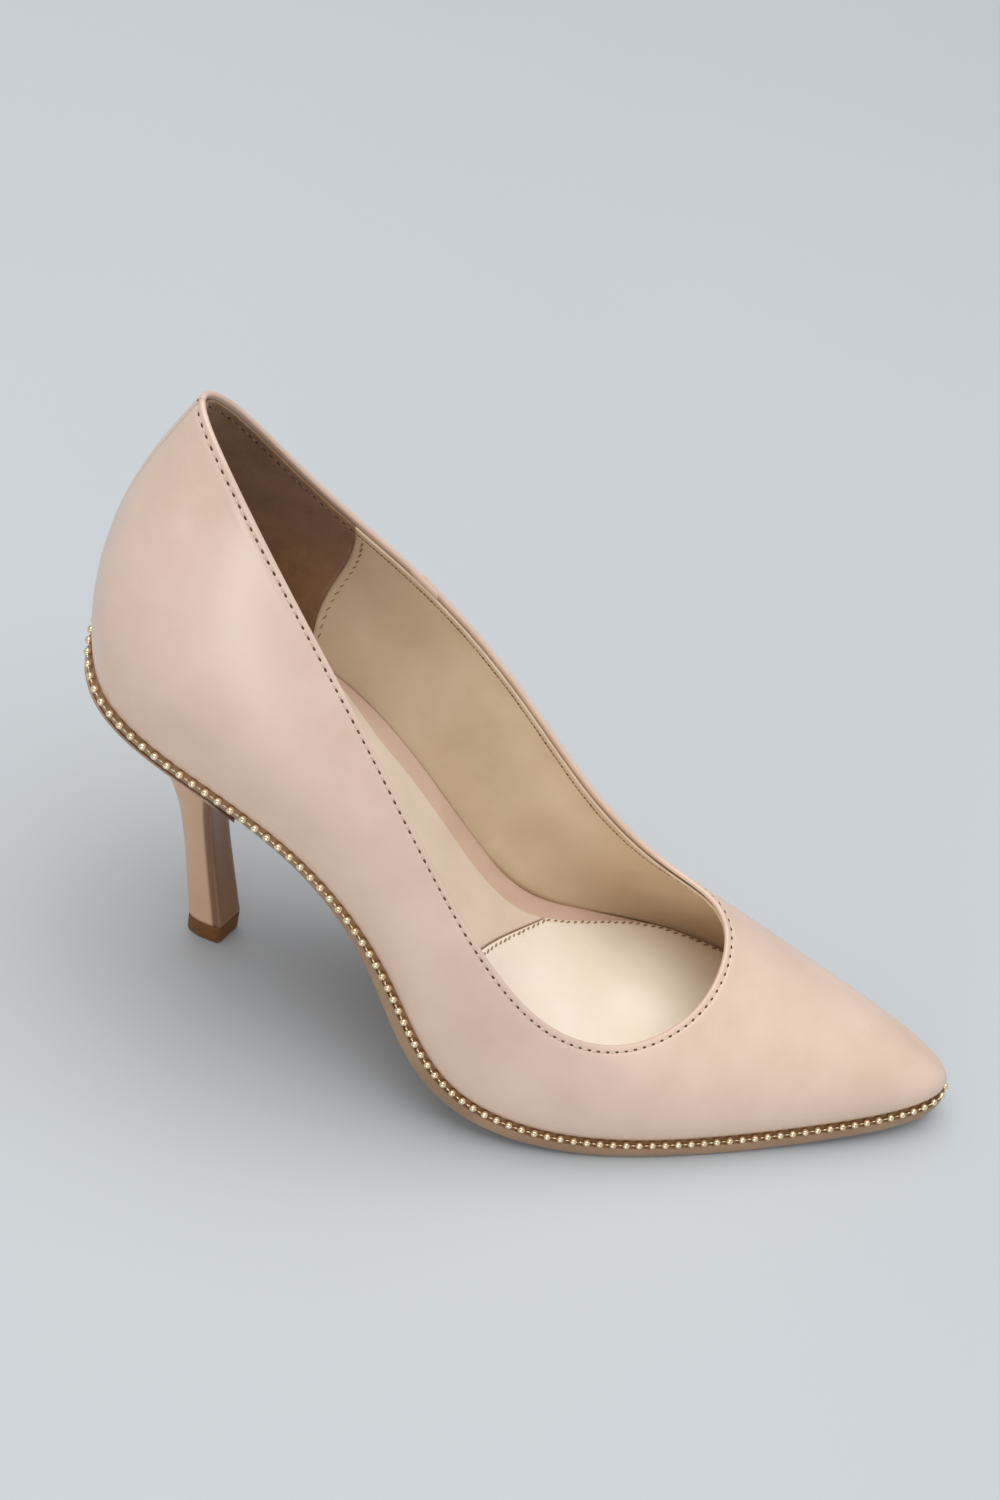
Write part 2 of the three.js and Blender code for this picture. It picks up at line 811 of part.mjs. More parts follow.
// The padded forefoot cushion carries on from the sock to the toes.
const padCrown = 1.6;
const padTop = (t) => {
  const rise = Math.sin(Math.PI * THREE.MathUtils.clamp((t - padSeam) / (TOE - 0.5 - padSeam), 0, 1));
  return [sockOut - 0.6, sockTop + padCrown * rise];
};
add(
  "forefoot_pad",
  solePlate(padSeam + halfSeam, TOE - 0.5, padTop, plain(sockOut - 0.6, insoleTop + GAP)),
  foam,
);

// ---------------------------------------------------------------- the shoe's own frame

const box = new THREE.Box3().setFromObject(shoe);
const middle = box.getCenter(new THREE.Vector3());
shoe.position.set(-middle.x, -middle.y, -box.min.z);

export default shoe;
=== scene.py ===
"""Looks of a high heel pump for the right foot: leather upper, padded footbed and a ball chain
along the sole edge. Sizes are in millimetres in the shoe's own drawing, where x runs from the back
of the heel to the toe tip, the lateral side is at -y and the ground at z = 0, unless a name says
otherwise. Meshes are moved to the part's frame, in metres, as they are made."""

import math

import bmesh
import bpy
import numpy as np
from mathutils import Matrix, Vector


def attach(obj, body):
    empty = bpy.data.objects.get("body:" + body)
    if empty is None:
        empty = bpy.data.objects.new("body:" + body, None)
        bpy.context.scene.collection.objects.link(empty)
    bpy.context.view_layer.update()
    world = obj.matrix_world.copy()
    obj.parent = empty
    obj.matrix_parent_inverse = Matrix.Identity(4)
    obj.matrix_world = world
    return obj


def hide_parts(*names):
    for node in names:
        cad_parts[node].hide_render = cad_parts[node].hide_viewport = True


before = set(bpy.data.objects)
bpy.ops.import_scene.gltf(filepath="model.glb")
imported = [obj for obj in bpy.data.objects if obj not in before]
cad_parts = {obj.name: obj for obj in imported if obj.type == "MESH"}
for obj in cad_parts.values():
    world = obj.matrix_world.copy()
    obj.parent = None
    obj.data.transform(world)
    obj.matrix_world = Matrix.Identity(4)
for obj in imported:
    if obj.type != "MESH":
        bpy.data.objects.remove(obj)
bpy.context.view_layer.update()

# ---- Camera -------------------------------------------------------------------------------------
# It stands beside the heel on the lateral side and looks down on the shoe at 43 degrees through
# a 57 mm lens. It is rolled, so that the shoe lies across the tall frame.
azimuth, elevation, roll = (math.radians(angle) for angle in (-5.48, 42.55, 18.57))
camera_distance, camera_lens = 0.6014, 56.6  # in metres, and in millimetres
aim_left, aim_up = 0.00914, 0.03917
camera_back = Vector((
    math.sin(azimuth) * math.cos(elevation),
    -math.cos(azimuth) * math.cos(elevation),
    math.sin(elevation),
))
camera_level = Vector((math.cos(azimuth), math.sin(azimuth), 0))
camera_upright = camera_back.cross(camera_level)
camera_right = math.cos(roll) * camera_level + math.sin(roll) * camera_upright
camera_up = math.cos(roll) * camera_upright - math.sin(roll) * camera_level
camera_aim = Vector((0.0005, 0.0055, 0.04)) - aim_left * camera_right + aim_up * camera_up
camera = bpy.data.objects.new("camera", bpy.data.cameras.new("camera"))
camera.data.lens = camera_lens
camera.matrix_world = (
    Matrix.Translation(camera_aim + camera_distance * camera_back)
    @ Matrix((camera_right, camera_up, camera_back)).transposed().to_4x4()
)
bpy.context.scene.collection.objects.link(camera)
bpy.context.scene.camera = camera

# ---- Studio -------------------------------------------------------------------------------------
# A pale grey floor that curves up far behind the shoe, one wide soft box overhead, a small one low
# in front and an even pale surrounding. The helpers for colours and node trees are defined here.
surround_colour, surround_strength = (0.93, 0.96, 1.0, 1), 0.58


def paint(red, green, blue):
    """A linear colour from 0-255 display values."""
    def linear(value):
        value /= 255
        return value / 12.92 if value <= 0.04045 else ((value + 0.055) / 1.055) ** 2.4
    return (linear(red), linear(green), linear(blue), 1)


def node(tree, kind, inputs=(), **settings):
    """A new node, with its settings and its inputs: a socket is linked, a value is set."""
    made = tree.nodes.new(kind)
    for key, value in settings.items():
        setattr(made, key, value)
    for key, value in dict(inputs).items():
        if isinstance(value, bpy.types.NodeSocket):
            tree.links.new(value, made.inputs[key])
        else:
            made.inputs[key].default_value = value
    return made


def empty_material(name):
    """A new material without nodes, and its tree."""
    material = bpy.data.materials.new(name)
    material.use_nodes = True
    material.node_tree.nodes.clear()
    return material, material.node_tree


def two_tones(tree, factor, low, high, start=0.3, stop=0.7):
    """A colour between low and high as the factor runs from start to stop."""
    ramp = node(tree, "ShaderNodeValToRGB", {"Fac": factor})
    ramp.color_ramp.elements[0].position = start
    ramp.color_ramp.elements[0].color = low
    ramp.color_ramp.elements[1].position = stop
    ramp.color_ramp.elements[1].color = high
    return ramp.outputs["Color"]


def object_place(tree):
    return node(tree, "ShaderNodeTexCoord").outputs["Object"]


def noise(tree, scale, detail=3.0, roughness=0.55, vector=None):
    vector = vector or object_place(tree)
    inputs = {"Vector": vector, "Scale": scale, "Detail": detail, "Roughness": roughness}
    return node(tree, "ShaderNodeTexNoise", inputs).outputs["Fac"]


def finished(tree, surface):
    node(tree, "ShaderNodeOutputMaterial", {"Surface": surface.outputs["BSDF"]})


floor_material, tree = empty_material("studio floor")
finished(tree, node(tree, "ShaderNodeBsdfPrincipled", {
    "Base Color": two_tones(tree, noise(tree, 2.0), paint(190, 194, 197), paint(193, 197, 199)),
    "Roughness": 0.75,
}))
floor_outline = [(-3.0, 0.0), (2.2, 0.0), (2.6, 0.08), (2.9, 0.35), (3.0, 0.8), (3.0, 3.0)]
floor_mesh = bpy.data.meshes.new("floor")
floor_mesh.from_pydata(
    [(x, y, z) for y, z in floor_outline for x in (-4.0, 4.0)],
    [],
    [(2 * i, 2 * i + 1, 2 * i + 3, 2 * i + 2) for i in range(len(floor_outline) - 1)],
)
floor_mesh.materials.append(floor_material)
floor = bpy.data.objects.new("floor", floor_mesh)
bpy.context.scene.collection.objects.link(floor)

world = bpy.data.worlds.new("surrounding")
world.use_nodes = True
background = world.node_tree.nodes["Background"]
background.inputs["Color"].default_value = surround_colour
background.inputs["Strength"].default_value = surround_strength
bpy.context.scene.world = world


def soft_box(name, place, aim, size, power):
    light = bpy.data.objects.new(name, bpy.data.lights.new(name, "AREA"))
    light.data.shape = "RECTANGLE"
    light.data.size, light.data.size_y = size
    light.data.energy = power
    light.location = place
    light.rotation_euler = (Vector(aim) - Vector(place)).to_track_quat("-Z", "Y").to_euler()
    bpy.context.scene.collection.objects.link(light)


soft_box("overhead soft box", (-0.1, 0.02, 1.7), (0, 0, 0.05), (1.8, 1.8), 25)
soft_box("front soft box", (-0.2, -1.5, 0.3), (-0.05, 0, 0.1), (0.42, 0.42), 3.6)
bpy.context.scene.view_settings.view_transform = "Standard"

# ---- Insole board -------------------------------------------------------------------------------
# A fibre board cut to the bottom of the foot and covered with glossy pink-beige leather that is
# turned round its edge. The shoe is drawn round the feather line, where upper and sole meet: one
# control point a station, 0 at the heel back, 1-7 along the lateral side, 8 at the toe tip, 9-15 back.
STATIONS, TOE = 16, 8
FRAME_ORIGIN = np.array([119.518, -5.484, 0])  # where the part's own origin is in the drawing

FEATHER = np.array([
    (-2, 0, 97.3), (2, -22, 94.5), (22, -31, 87.5), (59, -35.5, 75.5),
    (88, -41.5, 48.5), (106, -48.5, 14.5), (147, -46, 6), (200, -24.5, 7.5),
    (259, 1, 14), (204, 25, 7.5), (160, 42, 6), (118, 23.5, 15),
    (88, 25, 49), (58, 29, 75.5), (21, 28, 87.5), (2, 21, 94.5),
])
TOPLINE = np.array([
    (9.5, 0, 167.5), (21, -12.5, 159.5), (42, -21.5, 136), (70, -31.5, 105),
    (98, -41.5, 70), (125, -45.5, 42), (150.5, -36.5, 33), (168.5, -17.5, 36),
    (172.5, 2, 42), (168, 16, 43.5), (151.5, 22.5, 43.5), (128, 28, 55.5),
    (102, 32.5, 82), (73, 30.5, 109), (41, 21.5, 134), (17, 13.5, 160),
])
# how full the wall is above the feather line and below the topline: (out, up)
LOW_FULLNESS = np.array([
    (6, 24), (7, 24), (6, 22), (4, 16), (3, 12), (3, 10), (5, 9), (5, 8.5),
    (6.5, 10.5), (3.5, 8), (3.5, 9.5), (2, 12), (2, 12), (3, 16), (6, 22), (7, 24),
])
HIGH_FULLNESS = np.array([
    (12, -24), (13, -22), (11, -20), (7, -15), (4, -10), (3, -7), (6, -3), (11, -4),
    (29, -10), (12, -7.5), (4, -6), (3, -8), (4, -12), (7, -15), (11, -20), (13, -22),
])


def unit(vectors):
    return vectors / np.linalg.norm(vectors, axis=-1, keepdims=True)


def on_net(net, station):
    """Points of a closed, uniform cubic B-spline over one control point a station."""
    t = np.asarray(station, float) % STATIONS
    first = np.floor(t).astype(int)
    f = t - first
    weights = ((1 - f) ** 3, 3 * f**3 - 6 * f**2 + 4, -3 * f**3 + 3 * f**2 + 3 * f + 1, f**3)
    return sum(w[..., None] / 6 * net[(first - 1 + k) % STATIONS] for k, w in enumerate(weights))


def handles(net, fullness):
    run = (np.roll(FEATHER, -1, 0) - np.roll(FEATHER, 1, 0))[:, :2]
    out = unit(np.c_[run[:, 1], -run[:, 0]])
    return net + np.c_[out * fullness[:, :1], fullness[:, 1]]


LOW_HANDLES = handles(FEATHER, LOW_FULLNESS)
HIGH_HANDLES = handles(TOPLINE, HIGH_FULLNESS)


def sole_up(station):
    """The direction square to the sole, held near the heel back and the toe tip."""
    t = np.asarray(station, float) % STATIONS
    at = np.clip(np.minimum(t, STATIONS - t), 0.6, TOE - 0.6)
    ahead, behind = at + 0.05, at - 0.05
    run = (
        on_net(FEATHER, ahead) + on_net(FEATHER, -ahead)
        - on_net(FEATHER, behind) - on_net(FEATHER, -behind)
    )
    return unit(np.cross(run, on_net(FEATHER, -at) - on_net(FEATHER, at)))


def by_feather(station, out, level):
    """Points beside the feather line: out from it, and at a level above the sole's top."""
    run = on_net(FEATHER, station + 0.02) - on_net(FEATHER, station - 0.02)
    up = sole_up(station)
    outward = unit(np.cross(run, up))
    out, level = np.asarray(out, float)[..., None], np.asarray(level, float)[..., None]
    return on_net(FEATHER, station) + outward * out + up * level


def smooth(value, start, stop):
    x = np.clip((np.asarray(value, float) - start) / (stop - start), 0, 1)
    return x * x * (3 - 2 * x)


def mesh_object(name, points, faces, material, attributes=()):
    """A smooth-shaded mesh from points in the drawing, welded, its normals turned outwards."""
    mesh = bpy.data.meshes.new(name)
    mesh.from_pydata(((np.asarray(points) - FRAME_ORIGIN) * 0.001).tolist(), [], faces)
    for key, values in dict(attributes).items():
        mesh.attributes.new(key, "FLOAT", "POINT").data.foreach_set("value", np.ravel(values))
    build = bmesh.new()
    build.from_mesh(mesh)
    bmesh.ops.remove_doubles(build, verts=build.verts, dist=2e-6)
    bmesh.ops.dissolve_degenerate(build, edges=build.edges, dist=1e-6)
    bmesh.ops.recalc_face_normals(build, faces=build.faces)
    build.to_mesh(mesh)
    build.free()
    mesh.shade_smooth()
    mesh.materials.append(material)
    made = bpy.data.objects.new(name, mesh)
    bpy.context.scene.collection.objects.link(made)
    return made


def grid_faces(rows, columns, rows_closed, columns_closed):
    """Quads over a grid of points that are numbered row by row."""
    i, j = np.meshgrid(
        np.arange(rows if rows_closed else rows - 1),
        np.arange(columns if columns_closed else columns - 1),
        indexing="ij",
    )
    k, m = (i + 1) % rows, (j + 1) % columns
    corners = (i * columns + j, k * columns + j, k * columns + m, i * columns + m)
    return np.stack(corners, -1).reshape(-1, 4).tolist()


def sole_plate(name, rows, edge, material, across=12):
    """A plate across the sole. Each row is the stations of its points across, from the lateral
    to the medial side; edge(station) gives the outline of its side from the top face down."""
    loops = []
    for lateral, medial in rows:
        sides = [by_feather(np.full(len(e), t), e[:, 0], e[:, 1])
                 for t, e in ((lateral, edge(lateral)), (medial, edge(medial)))]
        mix = np.linspace(0, 1, across + 1)[1:-1, None]
        top = sides[0][0] * (1 - mix) + sides[1][0] * mix
        bottom = sides[1][-1] * (1 - mix) + sides[0][-1] * mix
        loops.append(np.concatenate([sides[0][::-1], top, sides[1], bottom]))
    points = np.array(loops)
    faces = grid_faces(len(rows), points.shape[1], False, True)
    return mesh_object(name, points.reshape(-1, 3), faces, material)


def leather(name, light, dark, roughness, grain=900.0, depth=0.00004, coat=0.0, wrinkle=0.0):
    """Leather in two soft tones, with a fine pebbled grain, pores and, if asked, wrinkles."""
    material, tree = empty_material(name)
    place = object_place(tree)
    cloud = noise(tree, 55.0, 4.0, vector=place)
    pebbles = node(tree, "ShaderNodeTexVoronoi", {"Vector": place, "Scale": grain},
                   feature="SMOOTH_F1").outputs["Distance"]
    pores = noise(tree, grain * 2.2, 2.0, vector=place)
    height = node(tree, "ShaderNodeMath", {0: pebbles, 1: 0.6}, operation="MULTIPLY").outputs[0]
    height = node(tree, "ShaderNodeMath", {0: pores, 1: 0.5, 2: height},
                  operation="MULTIPLY_ADD").outputs[0]
    if wrinkle:
        stretched = node(tree, "ShaderNodeMapping", {"Vector": place, "Scale": (0.5, 1, 1.6)})
        folds = noise(tree, 160.0, 5.0, 0.6, stretched.outputs["Vector"])
        height = node(tree, "ShaderNodeMath", {0: folds, 1: wrinkle, 2: height},
                      operation="MULTIPLY_ADD").outputs[0]
    bump = node(tree, "ShaderNodeBump", {"Height": height, "Strength": 0.5, "Distance": depth})
    rough = node(tree, "ShaderNodeMapRange", {
        "Value": cloud, "From Min": 0.3, "From Max": 0.7,
        "To Min": roughness - 0.05, "To Max": roughness + 0.06,
    })
    finished(tree, node(tree, "ShaderNodeBsdfPrincipled", {
        "Base Color": two_tones(tree, cloud, dark, light),
        "Roughness": rough.outputs["Result"], "Normal": bump.outputs["Normal"],
        "Coat Weight": coat, "Coat Roughness": 0.22, "Specular IOR Level": 0.45,
    }))
    return material


insole_leather = leather("insole cover leather", paint(222, 192, 172), paint(208, 175, 154),
                         0.36, grain=1100.0, depth=0.00003, coat=0.25)
insole = {"out": -3.2, "top": 2.2, "thickness": 2.2, "radius": 0.95}


def round_edge(out, top, bottom, radius, steps=5):
    """A side outline with rounded upper and lower corners, from the top face down."""
    angle = np.linspace(0, math.pi / 2, steps + 1)
    upper = np.c_[out - radius + radius * np.sin(angle), top - radius + radius * np.cos(angle)]
    lower = np.c_[out - radius + radius * np.cos(angle), bottom + radius - radius * np.sin(angle)]
    return np.concatenate([upper, lower])


def end_to_end(first, last, count):
    """Rows of a plate, closer together towards both ends."""
    crowded, even = 0.35, 0.65
    at = 0.5 - 0.5 * np.cos(np.linspace(0, math.pi, count + 1))
    stations = first + (last - first) * (crowded * at + even * np.linspace(0, 1, count + 1))
    return [(t, STATIONS - t) for t in stations]


board = sole_plate(
    "insole_board",
    end_to_end(0, TOE, 150),
    lambda t: round_edge(insole["out"], insole["top"], insole["top"] - insole["thickness"],
                         insole["radius"]),
    insole_leather,
)
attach(board, "root")
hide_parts("insole_board")

# ---- Shank, rivets and fillers ------------------------------------------------------------------
# A sprung steel strip riveted under the board's waist, a fibre filler under the heel seat and cork
# under the ball and the toes. They are closed in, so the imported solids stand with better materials.


def worn_steel(name, tone):
    material, tree = empty_material(name)
    streaks = node(tree, "ShaderNodeMapping", {"Vector": object_place(tree), "Scale": (0.2, 3, 3)})
    scratches = noise(tree, 900.0, 4.0, vector=streaks.outputs["Vector"])
    finished(tree, node(tree, "ShaderNodeBsdfPrincipled", {
        "Base Color": two_tones(tree, scratches, paint(*tone), paint(*(v + 22 for v in tone))),
        "Metallic": 1.0,
        "Roughness": node(tree, "ShaderNodeMapRange", {
            "Value": scratches, "To Min": 0.25, "To Max": 0.5}).outputs["Result"],
    }))
    return material


def fibre(name, light, dark, scale):
    material, tree = empty_material(name)
    flecks = noise(tree, scale, 6.0, 0.7)
    bump = node(tree, "ShaderNodeBump", {"Height": flecks, "Distance": 0.0002, "Strength": 0.6})
    finished(tree, node(tree, "ShaderNodeBsdfPrincipled", {
        "Base Color": two_tones(tree, flecks, dark, light, 0.35, 0.62), "Roughness": 0.9,
        "Normal": bump.outputs["Normal"],
    }))
    return material


def repaint(material, *names):
    """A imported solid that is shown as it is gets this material."""
    for name in names:
        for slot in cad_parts[name].material_slots:
            slot.material = material


steel = worn_steel("steel", (150, 153, 158))
repaint(steel, "shank", "shank_rivet_rear", "shank_rivet_front")
fibre_board = fibre("fibre board", paint(150, 118, 86), paint(116, 86, 60), 700.0)
repaint(fibre_board, "seat_filler")
repaint(fibre("cork", paint(190, 146, 98), paint(126, 88, 54), 420.0), "cork_filler")

# ---- Heel counter and toe puff ------------------------------------------------------------------
# Thin fibre stiffeners, moulded to the last and glued between leather and lining to keep the heel
# and the toe in shape. They are closed in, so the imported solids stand.
repaint(fibre_board, "heel_counter", "toe_puff")

# ---- Linings ------------------------------------------------------------------------------------
# Goat leather in the forepart, and a darker suede pocket round the heel that overlaps it at a
# stitched seam on each side. Their raw top edge ends just under the rolled topline.
lining_seam = {"lateral": 2.35, "medial": 13.65}
seam_gap, lean_reach, lean_amount = 0.002, 1.2, 0.44  # in stations
# how deep inside the wall it lies, and its two faces from there
lining_depth, lining_outer, lining_inner = 1.68, 0.05, 0.75


def wall(station, s):
    """The outer face of the upper: s is 0 at the feather line and 1 at the topline."""
    s = np.asarray(s, float)[..., None]
    return (
        on_net(FEATHER, station) * (1 - s) ** 3 + on_net(LOW_HANDLES, station) * 3 * s * (1 - s) ** 2
        + on_net(HIGH_HANDLES, station) * 3 * s * s * (1 - s) + on_net(TOPLINE, station) * s**3
    )


def wall_frame(station, s):
    """The directions out of the wall and up along it."""
    low, high = np.clip(s - 0.01, 0, 1), np.clip(s + 0.01, 0, 1)
    along = wall(station + 0.01, s) - wall(station - 0.01, s)
    up = unit(wall(station, high) - wall(station, low))
    return unit(np.cross(along, up)), up


def on_wall(station, s, depth, rise=0.0):
    """Points a depth inside the wall, and a rise above it."""
    out, up = wall_frame(station, s)
    depth, rise = np.broadcast_arrays(depth, rise)
    return wall(station, s) - out * depth[..., None] + up * rise[..., None]


def below_top(station, distance):
    """The s of a point that far below the topline."""
    rate = 3 * np.linalg.norm(on_net(TOPLINE, station) - on_net(HIGH_HANDLES, station), axis=-1)
    return 1 - distance / rate


def above_feather(station, distance):
    """The s of a point that far above the feather line."""
    rate = 3 * np.linalg.norm(on_net(LOW_HANDLES, station) - on_net(FEATHER, station), axis=-1)
    return distance / rate


def wall_heights(stations, bottom, top, middle=16):
    """A grid of s for a sheet: distances above the feather line, even steps, and distances
    below the topline, all in millimetres but for the steps."""
    rows = np.asarray(stations)[:, None]
    low = above_feather(rows, np.asarray(bottom)[None])
    high = below_top(rows, np.asarray(top)[None])
    steps = np.linspace(0, 1, middle + 2)[1:-1][None]
    between = low[:, -1:] * (1 - steps) + high[:, :1] * steps
    return np.concatenate([low, between, high], 1)


def sheet(name, stations, outside, inside, material, attributes=()):
    """A closed sheet between two grids of points, each a row a station."""
    rows, columns = outside.shape[:2]
    points = np.concatenate([outside, inside[:, ::-1]], 1)
    faces = grid_faces(rows, 2 * columns, False, True)
    for start in (0, (rows - 1) * 2 * columns):
        faces += [
            (start + j, start + j + 1, start + 2 * columns - 2 - j, start + 2 * columns - 1 - j)
            for j in range(columns - 1)
        ]
    return mesh_object(name, points.reshape(-1, 3), faces, material, attributes)


def spaced(first, last, step):
    return np.linspace(first, last, int(round((last - first) / step)) + 1)


lining_bottom = [0.4, 2.0, 4.0]
lining_top = [6.0, 4.2, 3.4, 2.9, 2.5, 2.1, 1.7, 1.2, 0.8, 0.45]


def seam_lean(t, s):
    """How far a place by the lining seams is moved forwards, more so lower down."""
    def nearness(station):
        return np.clip(1 - np.abs(t - station) / lean_reach, 0, 1)

    lateral = nearness(lining_seam["lateral"]) + nearness(STATIONS + lining_seam["lateral"])
    return lean_amount * (0.95 - s) * (lateral - nearness(lining_seam["medial"]))


def lining_sheet(name, first, last, material):
    stations = spaced(first, last, 0.03)
    s = wall_heights(stations, lining_bottom, lining_top)
    t = np.broadcast_to(stations[:, None], s.shape)
    t = t + seam_lean(t, s)
    below = (1 - s) / (1 - below_top(t, 1.0))
    above = s / above_feather(t, 1.0)
    # close behind the turned-in topline, further in over the stiffeners
    depth = lining_depth + 0.45 * smooth(below, 3.0, 14.0)
    heel_back = np.exp(-((np.minimum(t, STATIONS - t) / 0.9) ** 2))
    wave = 0.16 * np.sin(2 * math.pi * t * 2.9) * np.exp(-below / 2.5) * (0.35 + heel_back)
    stitch_dent = 0.1 * np.exp(-(((below - 2.5) / 0.45) ** 2))
    front = on_wall(t, s, depth + lining_outer)
    # it thickens at the bottom, where it is glued down against the board's edge
    waist = 2.2 * np.exp(-(((t - 11.1) / 0.5) ** 2)) * (1 - smooth(above, 3.0, 15.0))
    foot = 0.45 * (1 - smooth(above, 2.0, 7.0))
    back = on_wall(t, s, depth + lining_inner + wave - stitch_dent + foot + waist)
    return sheet(name, stations, front, back, material)


vamp_lining_leather = leather("vamp lining leather", paint(228, 205, 174), paint(215, 190, 157),
                              0.48, grain=750.0, depth=0.00003, wrinkle=0.5)
vamp_lining = lining_sheet("vamp_lining", lining_seam["lateral"] + seam_gap,
                           lining_seam["medial"] - seam_gap, vamp_lining_leather)
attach(vamp_lining, "root")
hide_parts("vamp_lining")


def suede(name, light, dark):
    """Suede: a nap of fine fibres that catches the light at its edges."""
    material, tree = empty_material(name)
    place = object_place(tree)
    patches = noise(tree, 90.0, 5.0, 0.65, place)
    nap = noise(tree, 2600.0, 2.0, 0.6, place)
    bump = node(tree, "ShaderNodeBump", {"Height": nap, "Distance": 0.00012, "Strength": 0.8})
    finished(tree, node(tree, "ShaderNodeBsdfPrincipled", {
        "Base Color": two_tones(tree, patches, dark, light, 0.32, 0.68), "Roughness": 0.95,
        "Normal": bump.outputs["Normal"], "Sheen Weight": 0.35, "Sheen Roughness": 0.5,
        "Specular IOR Level": 0.15,
    }))
    return material


heel_suede = suede("heel lining suede", paint(150, 112, 76), paint(124, 88, 56))
heel_lining = lining_sheet("heel_lining", lining_seam["medial"] + seam_gap,
                           STATIONS + lining_seam["lateral"] - seam_gap, heel_suede)
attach(heel_lining, "root")
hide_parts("heel_lining")


def thread(name, light, dark):
    """Waxed thread: two plies wound round each other."""
    material, tree = empty_material(name)
    fuzz = noise(tree, 2200.0, 3.0)
    bump = node(tree, "ShaderNodeBump", {"Height": fuzz, "Distance": 0.0001, "Strength": 0.7})
    finished(tree, node(tree, "ShaderNodeBsdfPrincipled", {
        "Base Color": two_tones(tree, fuzz, dark, light), "Roughness": 0.6,
        "Normal": bump.outputs["Normal"], "Sheen Weight": 0.3,
    }))
    return material


def turned_unit(profile, sides):
    """Points and faces of a closed body turned about X from (x, radius) pairs, in mm."""
    angle = 2 * math.pi * np.arange(sides) / sides
    points = np.array([
        (x, radius * math.cos(a), radius * math.sin(a)) for x, radius in profile for a in angle
    ])
    faces = grid_faces(len(profile), sides, False, True)
    last = (len(profile) - 1) * sides
    faces += [tuple(range(sides)), tuple(range(last, last + sides))]
    return points, faces


def stitch_unit(length, radius, arch, sides=6):
    """One stitch of thread: a thin bar along X that arches over the leather between its holes."""
    ends = [(-0.5, 0.35), (-0.42, 0.8), (-0.2, 1), (0, 1.03), (0.2, 1), (0.42, 0.8), (0.5, 0.35)]
    points, faces = turned_unit([(length * x, radius * r) for x, r in ends], sides)
    points[:, 2] += arch * np.cos(math.pi * points[:, 0] / length) - 0.5 * radius
    return points, faces


